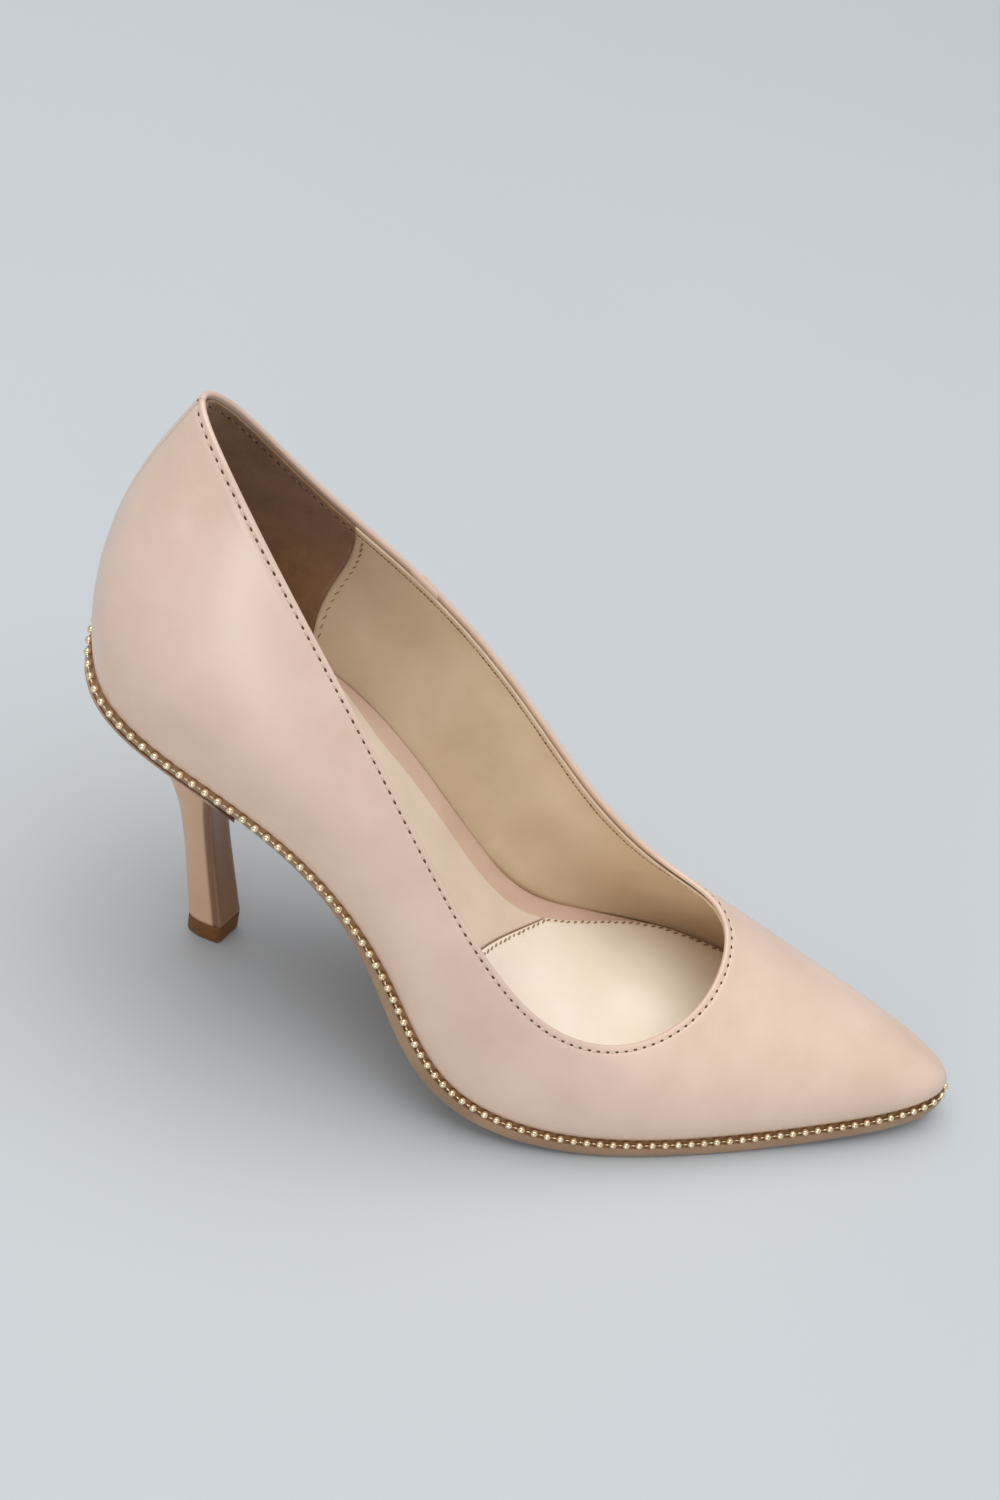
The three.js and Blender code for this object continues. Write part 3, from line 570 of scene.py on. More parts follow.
def scatter(name, places, along, out, shape, material, seed, size_jitter=0.05, turn_jitter=0.04):
    """A repeated shape set on points with Geometry Nodes, its X along the line and Z out of the
    surface, each a little different in size and turn. Returns one plain mesh."""
    unit_mesh = bpy.data.meshes.new(name + " unit")
    unit_mesh.from_pydata((shape[0] * 0.001).tolist(), [], shape[1])
    build = bmesh.new()
    build.from_mesh(unit_mesh)
    bmesh.ops.recalc_face_normals(build, faces=build.faces)
    build.to_mesh(unit_mesh)
    build.free()
    unit_mesh.shade_smooth()
    part = bpy.data.objects.new(name + " unit", unit_mesh)

    mesh = bpy.data.meshes.new(name)
    mesh.from_pydata(((places - FRAME_ORIGIN) * 0.001).tolist(), [], [])
    for key, values in (("along", along), ("out", out)):
        mesh.attributes.new(key, "FLOAT_VECTOR", "POINT").data.foreach_set("vector", np.ravel(values))
    made = bpy.data.objects.new(name, mesh)
    bpy.context.scene.collection.objects.link(made)

    tree = bpy.data.node_groups.new(name, "GeometryNodeTree")
    sockets = {}
    for label, kind in (("Places", "Geometry"), ("Unit", "Object"), ("Size jitter", "Float"),
                        ("Turn jitter", "Float"), ("Seed", "Int"), ("Material", "Material")):
        sockets[label] = tree.interface.new_socket(label, in_out="INPUT",
                                                   socket_type="NodeSocket" + kind)
    tree.interface.new_socket("Geometry", in_out="OUTPUT", socket_type="NodeSocketGeometry")
    given = node(tree, "NodeGroupInput").outputs

    def attribute(key):
        return node(tree, "GeometryNodeInputNamedAttribute", {"Name": key},
                    data_type="FLOAT_VECTOR").outputs["Attribute"]

    def jitter(amount, around, seed_shift):
        half = node(tree, "ShaderNodeMath", {0: amount, 1: -1.0}, operation="MULTIPLY").outputs[0]
        seed_socket = node(tree, "ShaderNodeMath", {0: given["Seed"], 1: seed_shift}).outputs[0]
        random = node(tree, "FunctionNodeRandomValue",
                      {2: half, 3: amount, "Seed": seed_socket}, data_type="FLOAT").outputs[1]
        return node(tree, "ShaderNodeMath", {0: random, 1: around}).outputs[0]

    facing = node(tree, "FunctionNodeAxesToRotation",
                  {"Primary Axis": attribute("out"), "Secondary Axis": attribute("along")},
                  primary_axis="Z", secondary_axis="X").outputs["Rotation"]
    turn = node(tree, "FunctionNodeAxisAngleToRotation",
                {"Axis": (0, 0, 1), "Angle": jitter(given["Turn jitter"], 0.0, 1.0)})
    facing = node(tree, "FunctionNodeRotateRotation",
                  {"Rotation": facing, "Rotate By": turn.outputs["Rotation"]},
                  rotation_space="LOCAL").outputs["Rotation"]
    size = node(tree, "ShaderNodeCombineXYZ", {
        key: jitter(given["Size jitter"], 1.0, 2.0) for key in "XYZ"}).outputs["Vector"]
    shape_source = node(tree, "GeometryNodeObjectInfo", {"Object": given["Unit"]})
    placed = node(tree, "GeometryNodeInstanceOnPoints", {
        "Points": given["Places"], "Instance": shape_source.outputs["Geometry"],
        "Rotation": facing, "Scale": size,
    })
    real = node(tree, "GeometryNodeRealizeInstances", {"Geometry": placed.outputs["Instances"]})
    dressed = node(tree, "GeometryNodeSetMaterial",
                   {"Geometry": real.outputs["Geometry"], "Material": given["Material"]})
    node(tree, "NodeGroupOutput", {"Geometry": dressed.outputs["Geometry"]})

    modifier = made.modifiers.new("repeat", "NODES")
    modifier.node_group = tree
    values = {"Unit": part, "Size jitter": size_jitter, "Turn jitter": turn_jitter,
              "Seed": seed, "Material": material}
    for label, value in values.items():
        modifier[sockets[label].identifier] = value
    bpy.context.view_layer.update()
    solid = bpy.data.meshes.new_from_object(
        made.evaluated_get(bpy.context.evaluated_depsgraph_get()))
    made.modifiers.remove(modifier)
    made.data = solid
    bpy.data.objects.remove(part)
    return made


def line_places(points, pitch, closed=False, start=0.5):
    """Evenly spaced places along a fine line of points, as fractions of its index."""
    run = np.linalg.norm(np.diff(points, axis=0), axis=1)
    length = np.concatenate([[0], np.cumsum(run)])
    count = int(round(length[-1] / pitch))
    at = (np.arange(count) + (0.0 if closed else start)) * length[-1] / count
    return np.interp(at, length, np.arange(len(points)))


def wall_row(first, last, distance, depth, pitch, shift=0.0, vertical=False):
    """Places, directions along and directions out for a row of stitches on the wall: below the
    topline by a distance, or straight up the wall at the station given as first."""
    if vertical:
        low, high = above_feather(np.array(first), 1.5), below_top(np.array(first), 3.4)
        s = np.linspace(low, high, 900)
        t = first + seam_lean(np.full_like(s, first), s)
    else:
        t = np.linspace(first, last, 6000)
        s = below_top(t, distance)
    points = on_wall(t, s, depth)
    at = line_places(points, pitch, start=0.5 + shift)
    t, s = np.interp(at, np.arange(len(t)), t), np.interp(at, np.arange(len(s)), s)
    places = on_wall(t, s, depth)
    step = 1e-3
    if vertical:
        ahead = on_wall(t, s + step, depth)
    else:
        ahead = on_wall(t + step, below_top(t + step, distance), depth)
    return places, unit(ahead - places), wall_frame(t, s)[0]


brown_thread = thread("brown thread", paint(168, 128, 92), paint(128, 92, 62))

# one row of stitches beside each seam between the two linings, a little in front of it
seam_stitch_ahead, seam_stitch_depth, seam_stitch_pitch = 0.07, 2.84, 2.6
seam_rows = [
    wall_row(lining_seam[side] + ahead, 0, 0, seam_stitch_depth, seam_stitch_pitch, vertical=True)
    for side, ahead in (("lateral", seam_stitch_ahead), ("medial", -seam_stitch_ahead))
]
places, along, out = (np.concatenate([row[k] for row in seam_rows]) for k in range(3))
lining_stitches = scatter("lining_seam_stitches", places, along, -out,
                          stitch_unit(1.9, 0.2, 0.1), brown_thread, seed=11)
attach(lining_stitches, "root")

# ---- Upper --------------------------------------------------------------------------------------
# Nude leather cut as one vamp round the toe and the lateral side, and a medial quarter. The vamp
# overlaps the quarter at the stitched side seam; both meet at the back seam. The top edge is turned
# in over the lining as a small round bead, with a stitch row close below it.
side_seam, back_seam = 13.1, 0.012
leather_thickness = 1.1
stitch_pitch = 2.75
topline_stitch_drop, topline_stitch_depth = 0.75, 0.12
lining_stitch_drop, lining_stitch_depth = 2.5, 2.32
side_stitch_depth = -0.36
fold_radius, fold_rise = 0.66, 0.35
upper_bottom = [0.0, 0.35, 0.9, 2.0, 4.0]
upper_top = [8.0, 5.5, 4.2, 3.4, 2.8, 2.3, 1.9, 1.55, 1.25, 1.0, 0.85, 0.75, 0.6, 0.4, 0.15, 0.0]


def upper_sheet(name, first, last, material, lap):
    stations = spaced(first, last, 0.02)
    s = wall_heights(stations, upper_bottom, upper_top, middle=22)
    t = np.broadcast_to(stations[:, None], s.shape)
    below = (1 - s) / (1 - below_top(t, 1.0))
    above = s / above_feather(t, 1.0)
    edge = wall(stations, below_top(stations, topline_stitch_drop))
    length = np.concatenate([[0], np.cumsum(np.linalg.norm(np.diff(edge, axis=0), axis=1))])
    phase = 2 * math.pi * length[:, None] / stitch_pitch
    # the stitch row pulls a furrow; between it and the bead the leather puffs up a little
    furrow = np.exp(-(((below - topline_stitch_drop) / 0.4) ** 2))
    puff = np.exp(-(((below - 2.4) / 1.2) ** 2))
    pull = furrow * (0.17 + 0.05 * np.cos(phase)) - 0.06 * puff
    # the bottom edge rounds in under the foot
    rounding = 0.06 * np.exp(-above / 0.8)
    # leather closes in at the back seam, and steps up or down at the side seam
    back_gap = np.minimum(np.abs(t - back_seam), np.abs(STATIONS - back_seam - t)) * 14
    seam_dip = 0.28 * np.exp(-back_gap / 0.35)
    depth = pull + rounding + seam_dip + lap(t)
    depth[:, -1] = depth[:, -2]
    outer = on_wall(t, s, depth)
    inner = on_wall(t, s, np.full_like(s, leather_thickness) + np.maximum(lap(t), 0))

    def beyond(columns, at_top):
        """Extra columns over the topline or under the feather line, as (depth, rise) pairs."""
        t_edge = stations[:, None] + np.zeros(len(columns))
        s_edge = np.ones_like(t_edge) if at_top else np.zeros_like(t_edge)
        pairs = np.array(columns)
        lifted = 0.6 * lap(t_edge) if at_top else lap(t_edge)
        rise = np.broadcast_to(pairs[:, 1], t_edge.shape)
        return on_wall(t_edge, s_edge, pairs[:, 0] + lifted, rise)

    arc = np.linspace(math.pi, math.pi / 2, 6)
    bead = [(fold_radius + fold_radius * math.cos(a), fold_rise + fold_radius * math.sin(a))
            for a in arc]
    inner_arc = np.linspace(0, math.pi / 2, 6)
    turned_in = [(1.16, -1.5), (1.45, -1.4), (1.5, -0.8), (1.45, -0.2)]
    inner_bead = [(fold_radius + (fold_radius + 0.08) * math.cos(a),
                   fold_rise + fold_radius * math.sin(a)) for a in inner_arc]
    under = [(0.5, -0.66), (0.32, -0.78), (0.12, -0.68), (0.05, -0.35)]
    outer = np.concatenate([beyond(under, False), outer, beyond(bead, True)], 1)
    inside_columns = turned_in + inner_bead
    # the inner face takes as many columns as the outer one has
    keep = outer.shape[1] - len(inside_columns)
    picked = np.linspace(0, inner.shape[1] - 4, keep).round().astype(int)
    inner = np.concatenate([inner[:, picked], beyond(inside_columns, True)], 1)
    return sheet(name, stations, outer, inner, material)


nude_leather = leather("nude leather", paint(225, 197, 178), paint(215, 186, 166),
                       0.36, grain=820.0, depth=0.00006, coat=0.3, wrinkle=0.35)


def vamp_lap(t):
    """The vamp's edge stands on the quarter in its last 5 mm."""
    return -0.42 * smooth(t, side_seam - 0.28, side_seam - 0.08)


def quarter_lap(t):
    """The quarter goes under the vamp's edge."""
    return 0.62 * (1 - smooth(t, side_seam - 0.02, side_seam + 0.12))


vamp = upper_sheet("vamp", back_seam, side_seam, nude_leather, vamp_lap)
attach(vamp, "root")
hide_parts("upper_vamp", "topline_fold")

quarter = upper_sheet("medial_quarter", side_seam - 0.2, STATIONS - back_seam, nude_leather,
                      quarter_lap)
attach(quarter, "root")
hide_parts("upper_medial_quarter")


pale_thread = thread("pale thread", paint(226, 208, 190), paint(196, 172, 150))
# the needle holes are dark brown as painted shade inside them
needle_hole_painted_shade, tree = empty_material("needle holes painted shade")
finished(tree, node(tree, "ShaderNodeBsdfPrincipled", {
    "Base Color": two_tones(tree, noise(tree, 400.0), paint(128, 98, 78), paint(100, 74, 56)),
    "Roughness": 1.0, "Specular IOR Level": 0.1,
}))


def hole_unit(radius, stretch=1.9):
    """A needle hole: a shallow slot along the row, with a flat rim, coloured dark as painted shade."""
    ring = [(0.06, radius), (0.02, 0.6 * radius), (-0.08, 0.2 * radius)]
    points, faces = turned_unit(ring, 8)
    return points[:, [1, 2, 0]] * (stretch, 1, 1), faces


def stitch_row(name, first, last, distance, depth, outwards, thread_material, seed, vertical=False):
    """A stitch row: arched threads, and a needle hole between each two."""
    for kind, shift in (("thread", 0.0), ("holes", 0.5)):
        places, along, out = wall_row(first, last, distance, depth, stitch_pitch, shift, vertical)
        if kind == "thread":
            shape, look = stitch_unit(1.5, 0.2, 0.16), thread_material
        else:
            shape, look = hole_unit(0.29), needle_hole_painted_shade
        row = scatter(f"{name}_{kind}", places, along, out if outwards else -out, shape, look, seed)
        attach(row, "root")


row_first, row_last = back_seam + 0.05, STATIONS - back_seam - 0.05
stitch_row("topline_stitch", row_first, row_last, topline_stitch_drop, topline_stitch_depth,
           True, pale_thread, seed=21)
stitch_row("lining_topline_stitch", row_first, row_last, lining_stitch_drop, lining_stitch_depth,
           False, brown_thread, seed=22)
for offset in (0.1, 0.2):
    stitch_row(f"side_seam_stitch_{offset}", side_seam - offset, 0, 0, side_stitch_depth, True,
               pale_thread, seed=23, vertical=True)

# ---- Rand ---------------------------------------------------------------------------------------
# A brown leather strip glued between upper and sole. Its face lies less than half a millimetre
# behind the upper's edge, and the chain is laid along it.
rand_leather = leather("dark rand leather", paint(164, 124, 84), paint(136, 98, 62), 0.45,
                       grain=900.0)


def feather_strip(name, outline, material, step=0.04):
    stations = np.arange(0, STATIONS, step)[:, None]
    pairs = np.array(outline)
    points = by_feather(
        np.broadcast_to(stations, (len(stations), len(pairs))), pairs[:, 0], pairs[:, 1])
    faces = grid_faces(len(stations), len(pairs), True, True)
    return mesh_object(name, points.reshape(-1, 3), faces, material)


rand = feather_strip("rand", [
    (-0.6, -0.25), (-0.3, -0.4), (-0.4, -1.0), (-0.45, -1.4), (-0.4, -1.9), (-0.3, -2.25),
    (-0.6, -2.4), (-3.0, -2.4), (-5.3, -2.4), (-5.3, -0.3), (-3.0, -0.3),
], rand_leather)
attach(rand, "root")
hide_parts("rand")

# ---- Ball chain ---------------------------------------------------------------------------------
# Small gold-plated balls on short links, laid once round the shoe against the rand and tied down to
# the upper's edge with a stitch at each ball along the forepart.
chain_out, chain_level, chain_pitch = 0.75, -1.3, 3.55
ball_radius, link_radius, tip_share = 0.98, 0.19, 0.6
ball_end, link_overlap, link_tip = 0.9, 0.05, 0.1

gold, tree = empty_material("gold plate")
tarnish = noise(tree, 500.0, 4.0)
finished(tree, node(tree, "ShaderNodeBsdfPrincipled", {
    "Base Color": two_tones(tree, tarnish, paint(236, 206, 162), paint(255, 238, 208)),
    "Metallic": 1.0,
    "Roughness": node(tree, "ShaderNodeMapRange", {
        "Value": tarnish, "To Min": 0.14, "To Max": 0.28}).outputs["Result"],
}))

bead_angles = np.linspace(0.3, math.pi - 0.3, 8)
half_link = 0.5 * chain_pitch + link_overlap
link = [(ball_end, link_radius), (half_link - link_tip, link_radius),
        (half_link, tip_share * link_radius)]
ball = [(-ball_radius * math.cos(a), ball_radius * math.sin(a)) for a in bead_angles]
bead_profile = [(-x, radius) for x, radius in reversed(link)] + ball + link

fine = np.linspace(0, STATIONS, 8001)
chain_line = by_feather(fine, np.full_like(fine, chain_out), np.full_like(fine, chain_level))
bead_stations = np.interp(line_places(chain_line, chain_pitch, closed=True),
                          np.arange(len(fine)), fine)


def chain_frame(t):
    here = by_feather(t, np.full_like(t, chain_out), np.full_like(t, chain_level))
    ahead = by_feather(t + 0.01, np.full_like(t, chain_out), np.full_like(t, chain_level))
    return here, unit(ahead - here), sole_up(t)


places, along, out = chain_frame(bead_stations)
chain = scatter("ball_chain", places, along, out, turned_unit(bead_profile, 12), gold, seed=31,
                size_jitter=0.012, turn_jitter=0.02)
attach(chain, "root")
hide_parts("ball_chain")

first_tied, last_tied, tie_shift = 4.3, 11.7, 0.03  # in stations
tie_rise, tie_depth = 0.35, 0.12
tied = (bead_stations > first_tied) & (bead_stations < last_tied)
tie_stations = bead_stations[tied] + tie_shift
tie_height = above_feather(tie_stations, tie_rise)
tie_places = on_wall(tie_stations, tie_height, tie_depth)
tie_out, tie_up = wall_frame(tie_stations, tie_height)
ties = scatter("chain_ties", tie_places, tie_up, tie_out, stitch_unit(1.5, 0.17, 0.12),
               pale_thread, seed=32, turn_jitter=0.15)
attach(ties, "root")

# ---- Outsole ------------------------------------------------------------------------------------
# Tan leather, thick under the ball and the toes, skived thin through the waist and under the heel
# seat. Its edge is rounded, painted and waxed to a shine.
outsole = {"top": -2.7, "waist": 2.3, "forepart": 4.7, "edge": -0.9, "welt": 1.0, "bevel": 1.1}
skive_end, full_from = 3.2, 5.6  # the stations between which it thickens


def outsole_edge(station):
    t = min(station, STATIONS - station)
    forward = float(smooth(t, skive_end, full_from))
    thickness = outsole["waist"] + (outsole["forepart"] - outsole["waist"]) * forward
    out = outsole["edge"] + (outsole["welt"] - outsole["edge"]) * forward
    top, bottom = outsole["top"], outsole["top"] - thickness
    corner = 0.3
    side = [(out - 3, top), (out - corner, top), (out - 0.3 * corner, top - 0.25 * corner),
            (out, top - corner)]
    side += [(out + 0.02, top - 0.3 * thickness), (out - 0.15, top - 0.55 * thickness),
             (out - 0.5 * outsole["bevel"], top - 0.82 * thickness),
             (out - 0.85 * outsole["bevel"], bottom + 0.15),
             (out - 1.2 * outsole["bevel"], bottom + 0.02), (out - 3, bottom)]
    return np.array(side)


sole_leather, tree = empty_material("sole unit")
place = object_place(tree)
tone = noise(tree, 40.0, 5.0, 0.6, place)
fine_grain = noise(tree, 1500.0, 3.0, 0.6, place)
bump = node(tree, "ShaderNodeBump", {"Height": fine_grain, "Distance": 0.00003, "Strength": 0.5})
finished(tree, node(tree, "ShaderNodeBsdfPrincipled", {
    "Base Color": two_tones(tree, tone, paint(142, 108, 76), paint(168, 134, 100)),
    "Roughness": node(tree, "ShaderNodeMapRange", {
        "Value": tone, "To Min": 0.3, "To Max": 0.46}).outputs["Result"],
    "Normal": bump.outputs["Normal"], "Coat Weight": 0.2, "Coat Roughness": 0.2,
}))

sole = sole_plate("outsole", end_to_end(0, TOE, 190), outsole_edge, sole_leather, across=14)
for vertex in sole.data.vertices:
    vertex.co.z = max(vertex.co.z, 0.0)
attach(sole, "root")
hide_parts("outsole")

# ---- Heel core, tube, screw and nails -----------------------------------------------------------
# A moulded plastic heel with a steel tube up its stem, held to the seat by a screw and four nails
# from inside the shoe. They are closed in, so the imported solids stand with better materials.
heel_plastic, tree = empty_material("heel plastic")
finished(tree, node(tree, "ShaderNodeBsdfPrincipled", {
    "Base Color": two_tones(tree, noise(tree, 120.0), paint(206, 202, 192), paint(220, 216, 206)),
    "Roughness": 0.45,
}))
repaint(heel_plastic, "heel_core")
repaint(steel, "heel_tube", "heel_screw", "heel_nail_1", "heel_nail_2", "heel_nail_3",
        "heel_nail_4", "lift_dowel")

# ---- Heel cover ---------------------------------------------------------------------------------
# Nude leather stretched and glued round the heel. Its ends are trimmed along the breast corners,
# where a darker line shows in a shallow groove; the breast between them is coloured brown as painted
# shade.
ROUND, BREAST = 48, 12  # steps round the back, and across the breast
cover_thickness, corner_groove = 0.9, 0.22
lift_height, lift_gap = 6.0, 0.3
seat_level, seat_out, breast_station = -5.3, -0.9, 2.6
station_length = 34  # of the feather line by the breast corners
HEEL = {
    "breast_x": 46.0, "centre_y": -0.5, "half": 4.4, "depth": 11.0, "turn": math.radians(6),
    "skew": 0.35, "corner": 0.7, "rake": 18.0, "taper": 4.0, "widen": 1.5, "flare_top": 78.0,
    "flare_power": 5.5, "flare_forward": 19.0, "flare_width": 17.0, "flare_depth": 45.0,
    "flare_lean": 0.5,
}
heel_heights = (lift_height + lift_gap, 14, 24, 36, 47, 56, 64, 71)
squareness, breast_hollow = 0.8, 0.08  # a power of 1 is a half ellipse, less is squarer
last_curved, blend_rings = 3, 2  # where the smoothing up the heel gives way to straight lines


def heel_ring(z):
    """A ring of the heel: its breast, half width, depth to the back, and lean with the seat. Going
    up, the breast rakes back, the stem tapers, and all of it flares out by a power curve."""
    up = (z - lift_height) / (HEEL["flare_top"] - lift_height)
    flare = up ** HEEL["flare_power"]
    return {
        "z": z, "x": HEEL["breast_x"] - HEEL["rake"] * up + HEEL["flare_forward"] * flare,
        "half": HEEL["half"] + HEEL["widen"] * up + HEEL["flare_width"] * flare,
        "depth": HEEL["depth"] - HEEL["taper"] * up + HEEL["flare_depth"] * flare,
        "lean": HEEL["flare_lean"] * flare, "turn": HEEL["turn"] * (1 - up),
        "skew": HEEL["skew"] * (1 - up),
    }


def d_ring(ring, inset):
    """A D-shaped ring: a round back from the lateral breast corner, then an oblique breast."""
    turn = ring["turn"]
    forward = np.array([math.cos(turn), -math.sin(turn), 0])
    sideways = np.array([math.sin(turn), math.cos(turn), 0])
    breast_y = HEEL["centre_y"] - 0.5 * ring["depth"] * math.sin(turn)
    centre = np.array([ring["x"], breast_y, ring["z"]]) - forward * inset
    w, d = ring["half"] - inset, ring["depth"] - 2 * inset
    angle = math.pi * np.arange(ROUND + 1) / ROUND
    v_round = -np.sign(np.cos(angle)) * np.abs(np.cos(angle)) ** squareness
    u_round = -HEEL["corner"] - (d - HEEL["corner"]) * np.sin(angle) ** squareness
    v_breast = 1 - 2 * np.arange(1, BREAST) / BREAST
    u_breast = -breast_hollow * w * (1 - v_breast**2) - HEEL["corner"] * v_breast**6
    u, v = np.concatenate([u_round, u_breast]), w * np.concatenate([v_round, v_breast])
    points = centre + (u + ring["skew"] * v)[:, None] * forward + v[:, None] * sideways
    points[:, 2] -= ring["lean"] * (points[:, 0] - centre[0])
    return points


def seat_ring(inset):
    """The top ring, under the sole along the outline of the heel seat."""
    corner = breast_station - inset / station_length
    t = corner * (1 - 2 * np.arange(ROUND + 1) / ROUND)
    round_part = by_feather(t, np.full_like(t, seat_out - inset), np.full_like(t, seat_level))
    v = 1 - 2 * np.arange(1, BREAST)[:, None] / BREAST
    breast = round_part[-1] + (round_part[0] - round_part[-1]) * (1 - v) / 2
    breast[:, :1] -= 0.5 * (1 - v**2)
    return np.concatenate([round_part, breast])


def heel_sections(inset, per_gap=5):
    """Rings up the heel, smoothed along the stem and straight up the flare, as the core is."""
    drawn = np.array([d_ring(heel_ring(z), inset) for z in heel_heights] + [seat_ring(inset)])
    rings = []
    for i in range(len(drawn) - 1):
        a, b = drawn[i], drawn[i + 1]
        before = drawn[max(i - 1, 0)]
        after = drawn[min(i + 2, len(drawn) - 1)]
        for f in np.linspace(0, 1, per_gap, endpoint=False):
            curved = 0.5 * (2 * a + (b - before) * f + (2 * before - 5 * a + 4 * b - after) * f**2
                            + (3 * a - before - 3 * b + after) * f**3)
            straight = a + (b - a) * f
            flare_share = min(max((i - last_curved) / blend_rings, 0), 1)
            rings.append(curved + (straight - curved) * flare_share)
    return np.array(rings + [drawn[-1]])


cover_outside, cover_inside = heel_sections(0), heel_sections(cover_thickness)
groove = np.zeros(ROUND + BREAST)
groove[[1, ROUND - 1]] = corner_groove
toward_inside = unit(cover_inside - cover_outside + 1e-9)
cover_outside = cover_outside + toward_inside * groove[None, :, None]
rings_count, ring_size = cover_outside.shape[:2]
points = np.stack([cover_outside, cover_inside], 0).reshape(-1, 3)
outer_faces = grid_faces(rings_count, ring_size, False, True)
inner_start = rings_count * ring_size
faces = outer_faces + [tuple(inner_start + k for k in reversed(f)) for f in outer_faces]
for ring in (0, rings_count - 1):
    start = ring * ring_size
    for j in range(ring_size):
        k = (j + 1) % ring_size
        faces.append((start + j, start + k, inner_start + start + k, inner_start + start + j))
# mask of the breast face, which is coloured brown as painted shade
breast_painted_shade = np.zeros(ring_size)
breast_painted_shade[ROUND + 1:] = 1.0
seam_line = np.zeros(ring_size)
seam_line[[0, 1, ROUND - 1, ROUND]] = 1.0

cover_leather, tree = empty_material("heel cover leather")
place = object_place(tree)
cloud = noise(tree, 55.0, 4.0, vector=place)
base = two_tones(tree, cloud, paint(202, 162, 130), paint(212, 174, 144))
# the breast face is darkened to brown as painted shade, and the seam line beside it is darker too
for key, shade, share in (("breast", paint(142, 100, 60), 0.95), ("seam", paint(112, 74, 46), 0.9)):
    mask = node(tree, "ShaderNodeAttribute", attribute_name=key).outputs["Fac"]
    factor = node(tree, "ShaderNodeMath", {0: mask, 1: share}, operation="MULTIPLY").outputs[0]
    base = node(tree, "ShaderNodeMixRGB", {"Fac": factor, "Color1": base, "Color2": shade}).outputs[0]
grain = noise(tree, 1500.0, 3.0, vector=place)
bump = node(tree, "ShaderNodeBump", {"Height": grain, "Distance": 0.00003, "Strength": 0.5})
finished(tree, node(tree, "ShaderNodeBsdfPrincipled", {
    "Base Color": base, "Roughness": 0.4, "Coat Weight": 0.15, "Coat Roughness": 0.25,
    "Normal": bump.outputs["Normal"],
}))
cover = mesh_object("heel_cover", points, faces, cover_leather, {
    "breast": np.tile(breast_painted_shade, 2 * rings_count), "seam": np.tile(seam_line, 2 * rings_count),
})
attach(cover, "root")
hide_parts("heel_cover")

# ---- Heel lift ----------------------------------------------------------------------------------
# The D-shaped tip, moulded in brown plastic with rounded edges and pressed into the steel tube by
# its dowel. It is slightly scuffed.
lift_forward, lift_draft = 0.4, 0.2  # how far its sole face stands forwards and in from its top
lift_plastic, tree = empty_material("lift plastic")
place = object_place(tree)
scuffs = noise(tree, 700.0, 5.0, 0.7, place)
bump = node(tree, "ShaderNodeBump", {"Height": scuffs, "Distance": 0.00005, "Strength": 0.5})
finished(tree, node(tree, "ShaderNodeBsdfPrincipled", {
    "Base Color": two_tones(tree, scuffs, paint(104, 64, 26), paint(122, 80, 38)),
    "Roughness": 0.5, "Specular IOR Level": 0.3, "Normal": bump.outputs["Normal"],
}))
lift_steps = [(0.0, 0.55), (0.12, 0.25), (0.4, 0.06), (0.8, 0.0), (5.2, 0.0), (5.6, 0.06),
              (5.88, 0.22), (6.0, 0.45)]
lift_rings = []
for height, inset in lift_steps:
    share = height / lift_height
    ring = heel_ring(lift_height)
    ring["z"] = height
    ring["x"] += lift_forward * (1 - share)
    ring["half"] -= lift_draft * (1 - share)
    lift_rings.append(d_ring(ring, inset))
points = np.array(lift_rings).reshape(-1, 3)
size = ROUND + BREAST
faces = grid_faces(len(lift_rings), size, False, True)
faces += [tuple(range(size)), tuple(range(len(points) - size, len(points)))]
lift = mesh_object("heel_lift", points, faces, lift_plastic)
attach(lift, "root")
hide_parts("heel_lift")

# ---- Sock ---------------------------------------------------------------------------------------
# A thin leather sock glued over the board and the fastenings, from the heel to the cushion. The
# board's covered edge shows beside it.
sock_out, sock_top, sock_thickness = -4.5, 3.4, 0.8
rim_widening, lateral_share = 8.0, 0.27
join_gap = 0.008  # in stations, on each side of the seam between sock and cushion


def rim_at(station):
    """How far out the sock's edge lies from the feather line: the rim is narrow by the toes, a
    little wider along the lateral side behind them, and broad along the medial waist."""
    t = np.asarray(station, float) % STATIONS
    medial = np.where(t > TOE, smooth(STATIONS - t, 2.7, 3.5) - smooth(STATIONS - t, 4.7, 6.0), 0)
    lateral = np.where(t <= TOE, lateral_share * (1 - smooth(t, 4.5, 6.0)), 0)
    return sock_out - rim_widening * (medial + lateral)


def pad_seam(u):
    """The station where sock and cushion meet, across from the lateral (0) to the medial side."""
    return 4.58 + 0.5 * np.asarray(u, float) ** 2.5


def footbed(t, u, level):
    """Points over the board: along t, across u, at a level."""
    lateral = by_feather(t, rim_at(t), level)
    medial = by_feather(STATIONS - t, rim_at(STATIONS - t), level)
    return lateral * (1 - u[..., None]) + medial * u[..., None]


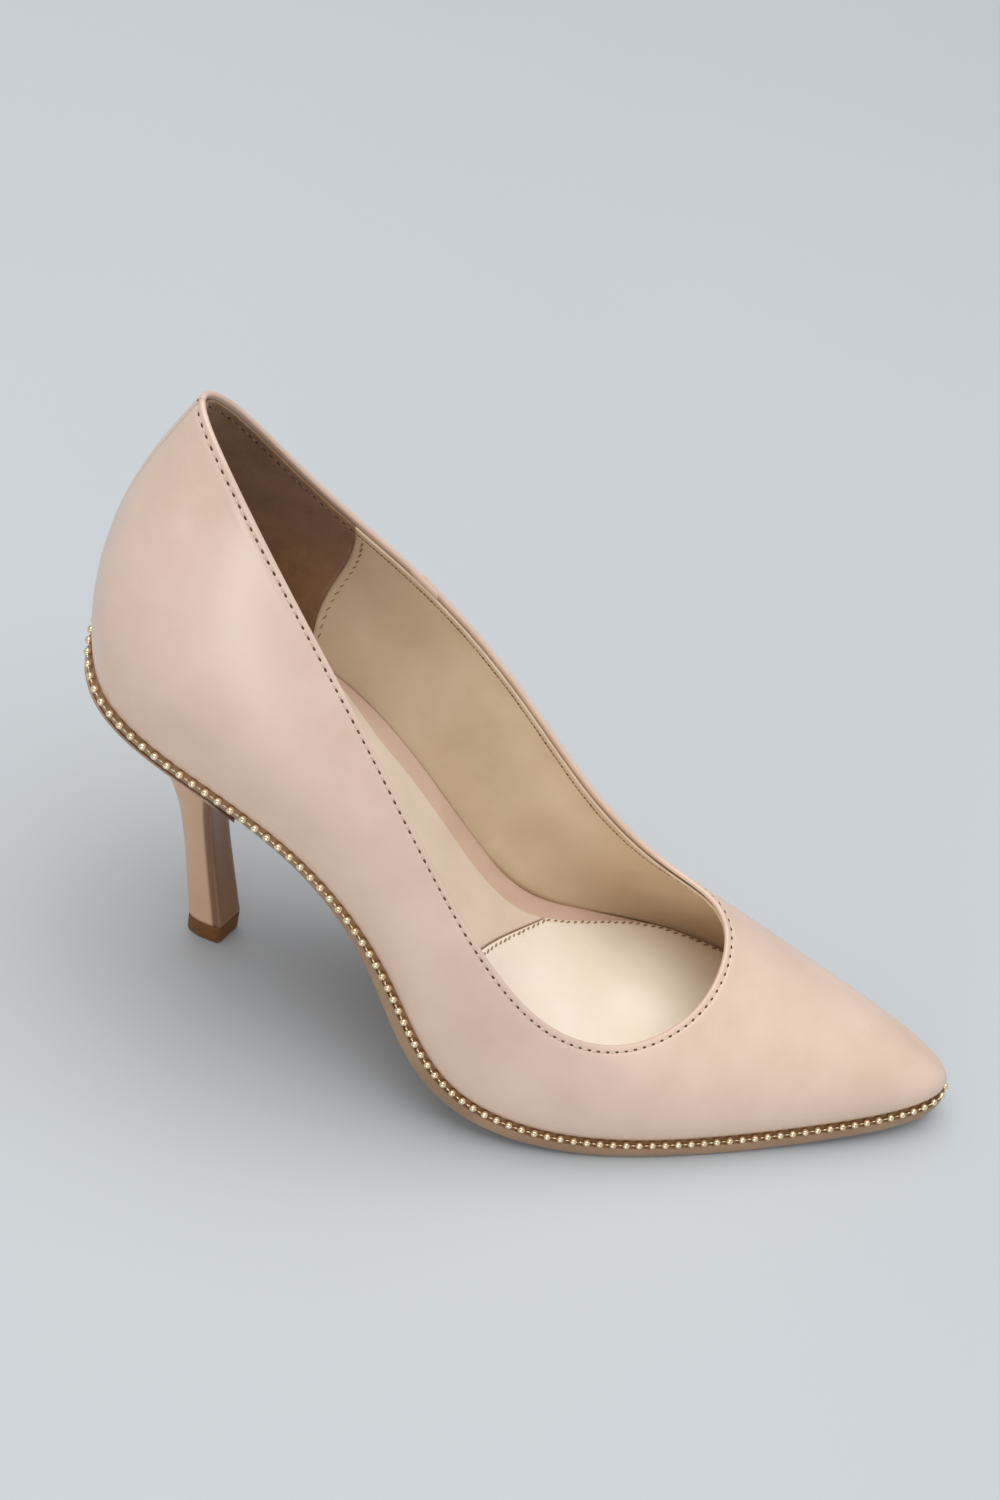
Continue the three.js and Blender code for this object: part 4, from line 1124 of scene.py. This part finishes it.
def footbed_piece(name, first, last, rows, columns, top, bottom_level, material):
    """A closed piece of the footbed. first and last give the stations of its ends across u, and
    top(u, v, t) gives the level of its upper face."""
    def ease(count):
        """Steps from 0 to 1, closer together towards both ends."""
        turn = np.linspace(0, math.pi, count)
        return 0.5 * (np.linspace(0, 1, count) + 0.5 - 0.5 * np.cos(turn))

    u, v = np.meshgrid(ease(columns), ease(rows))
    t = first(u) * (1 - v) + last(u) * v
    upper = footbed(t, u, top(u, v, t))
    lower = footbed(t, u, np.full_like(t, bottom_level))
    points = np.concatenate([upper.reshape(-1, 3), lower.reshape(-1, 3)])
    faces = grid_faces(rows, columns, False, False)
    below = rows * columns
    faces += [tuple(below + k for k in reversed(f)) for f in faces]
    rim = [i * columns for i in range(rows)] + [(rows - 1) * columns + j for j in range(1, columns)]
    rim += [i * columns + columns - 1 for i in range(rows - 2, -1, -1)]
    rim += list(range(columns - 2, 0, -1))
    faces += [(a, b, b + below, a + below) for a, b in zip(rim, rim[1:] + rim[:1])]
    return mesh_object(name, points, faces, material)


def edge_distance(u, v):
    """Distance to the nearest edge of a footbed piece, as a share of its half width."""
    return np.minimum(np.minimum(u, 1 - u) * 2, np.minimum(v, 1 - v) * 4)


sock_leather = leather("sock leather", paint(231, 212, 193), paint(221, 201, 180), 0.5,
                       grain=800.0, depth=0.00003, wrinkle=0.3)
sock = footbed_piece(
    "sock", lambda u: 0.02 + 0 * u, lambda u: pad_seam(u) - join_gap, 160, 40,
    lambda u, v, t: sock_top - 0.25 * np.exp(-edge_distance(u, v) / 0.03),
    sock_top - sock_thickness, sock_leather)
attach(sock, "root")
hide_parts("sock")

# ---- Forefoot cushion ---------------------------------------------------------------------------
# Foam under soft cream leather. The leather is drawn down by slanted brown stitches all along its
# edge, so the cushion crowns quickly from the stitches and puckers between them.
pad_crown, pad_edge, pad_bottom, pad_end = 1.3, 0.25, 2.4, TOE - 0.5
quick_rise = 0.9  # of the swell, close to the stitches
pad_length, side_run, end_run = 60, 75, 55  # along the middle, and along its sides and ends
pad_pitch, pucker_depth = 2.3, 0.16
stitch_lift, stitch_inset_u, stitch_inset_v = 0.15, 0.965, 0.975


def pad_station(u, v):
    return pad_seam(u) * (1 - v) + pad_end * v


def pad_level(u, v, t):
    """The level of the cushion's top: it swells from its edge and puckers between the stitches."""
    across = footbed(t, np.ones_like(t), t * 0) - footbed(t, t * 0, t * 0)
    half_width = 0.5 * np.linalg.norm(across, axis=-1)
    side = np.minimum(u, 1 - u) * 2 * half_width
    front_back = np.minimum(v * pad_length, (1 - v) * pad_length)
    near = np.minimum(side, front_back)
    swell = pad_edge + quick_rise * (1 - np.exp(-near / 1.6))
    swell = swell + (pad_crown - quick_rise) * smooth(near, 0, 16)
    along = np.where(side < front_back, v * side_run, u * end_run)
    beside_stitches = np.exp(-(((near - 1.3) / 1.1) ** 2))
    pucker = pucker_depth * beside_stitches * np.cos(2 * math.pi * along / pad_pitch)
    return sock_top - 0.35 + swell + pucker


cream_leather = leather("cream cushion leather", paint(243, 232, 216), paint(235, 222, 204), 0.5,
                        grain=700.0, depth=0.00004, wrinkle=0.45)
pad = footbed_piece("forefoot_cushion", lambda u: pad_seam(u) + join_gap, lambda u: pad_end + 0 * u,
                    260, 140, pad_level, pad_bottom, cream_leather)
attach(pad, "root")
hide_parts("forefoot_pad")

# once round its edge: across the back, along the medial side, across the front and back again
there, zero, one = np.linspace(0, 1, 600), np.zeros(600), np.ones(600)
outline_u = np.concatenate([np.linspace(0, 1, 300), one, np.linspace(1, 0, 60), zero])
outline_v = np.concatenate([zero[:300], there, one[:60], np.linspace(1, 0, 600)])
inset_u = 0.5 + (outline_u - 0.5) * stitch_inset_u
inset_v = 0.5 + (outline_v - 0.5) * stitch_inset_v
line_t = pad_station(inset_u, inset_v)
line = footbed(line_t, inset_u, pad_level(inset_u, inset_v, line_t) + stitch_lift)
at = line_places(line, pad_pitch)
index = np.arange(len(line))


def at_point(values):
    """Values along the line, taken at the stitches."""
    return np.stack([np.interp(at, index, values[:, k]) for k in range(3)], 1)


places = at_point(line)
run = unit(at_point(np.gradient(line, axis=0)))
out = sole_up(np.interp(at, index, line_t))
slant = math.radians(24)
across_line = unit(np.cross(out, run))
along = unit(math.cos(slant) * run + math.sin(slant) * across_line)
pad_stitches = scatter("cushion_stitches", places, along, out, stitch_unit(1.6, 0.25, 0.14),
                       brown_thread, seed=41, turn_jitter=0.12)
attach(pad_stitches, "root")

# ---- Update -------------------------------------------------------------------------------------
# The view layer is brought up to date.
bpy.context.view_layer.update()
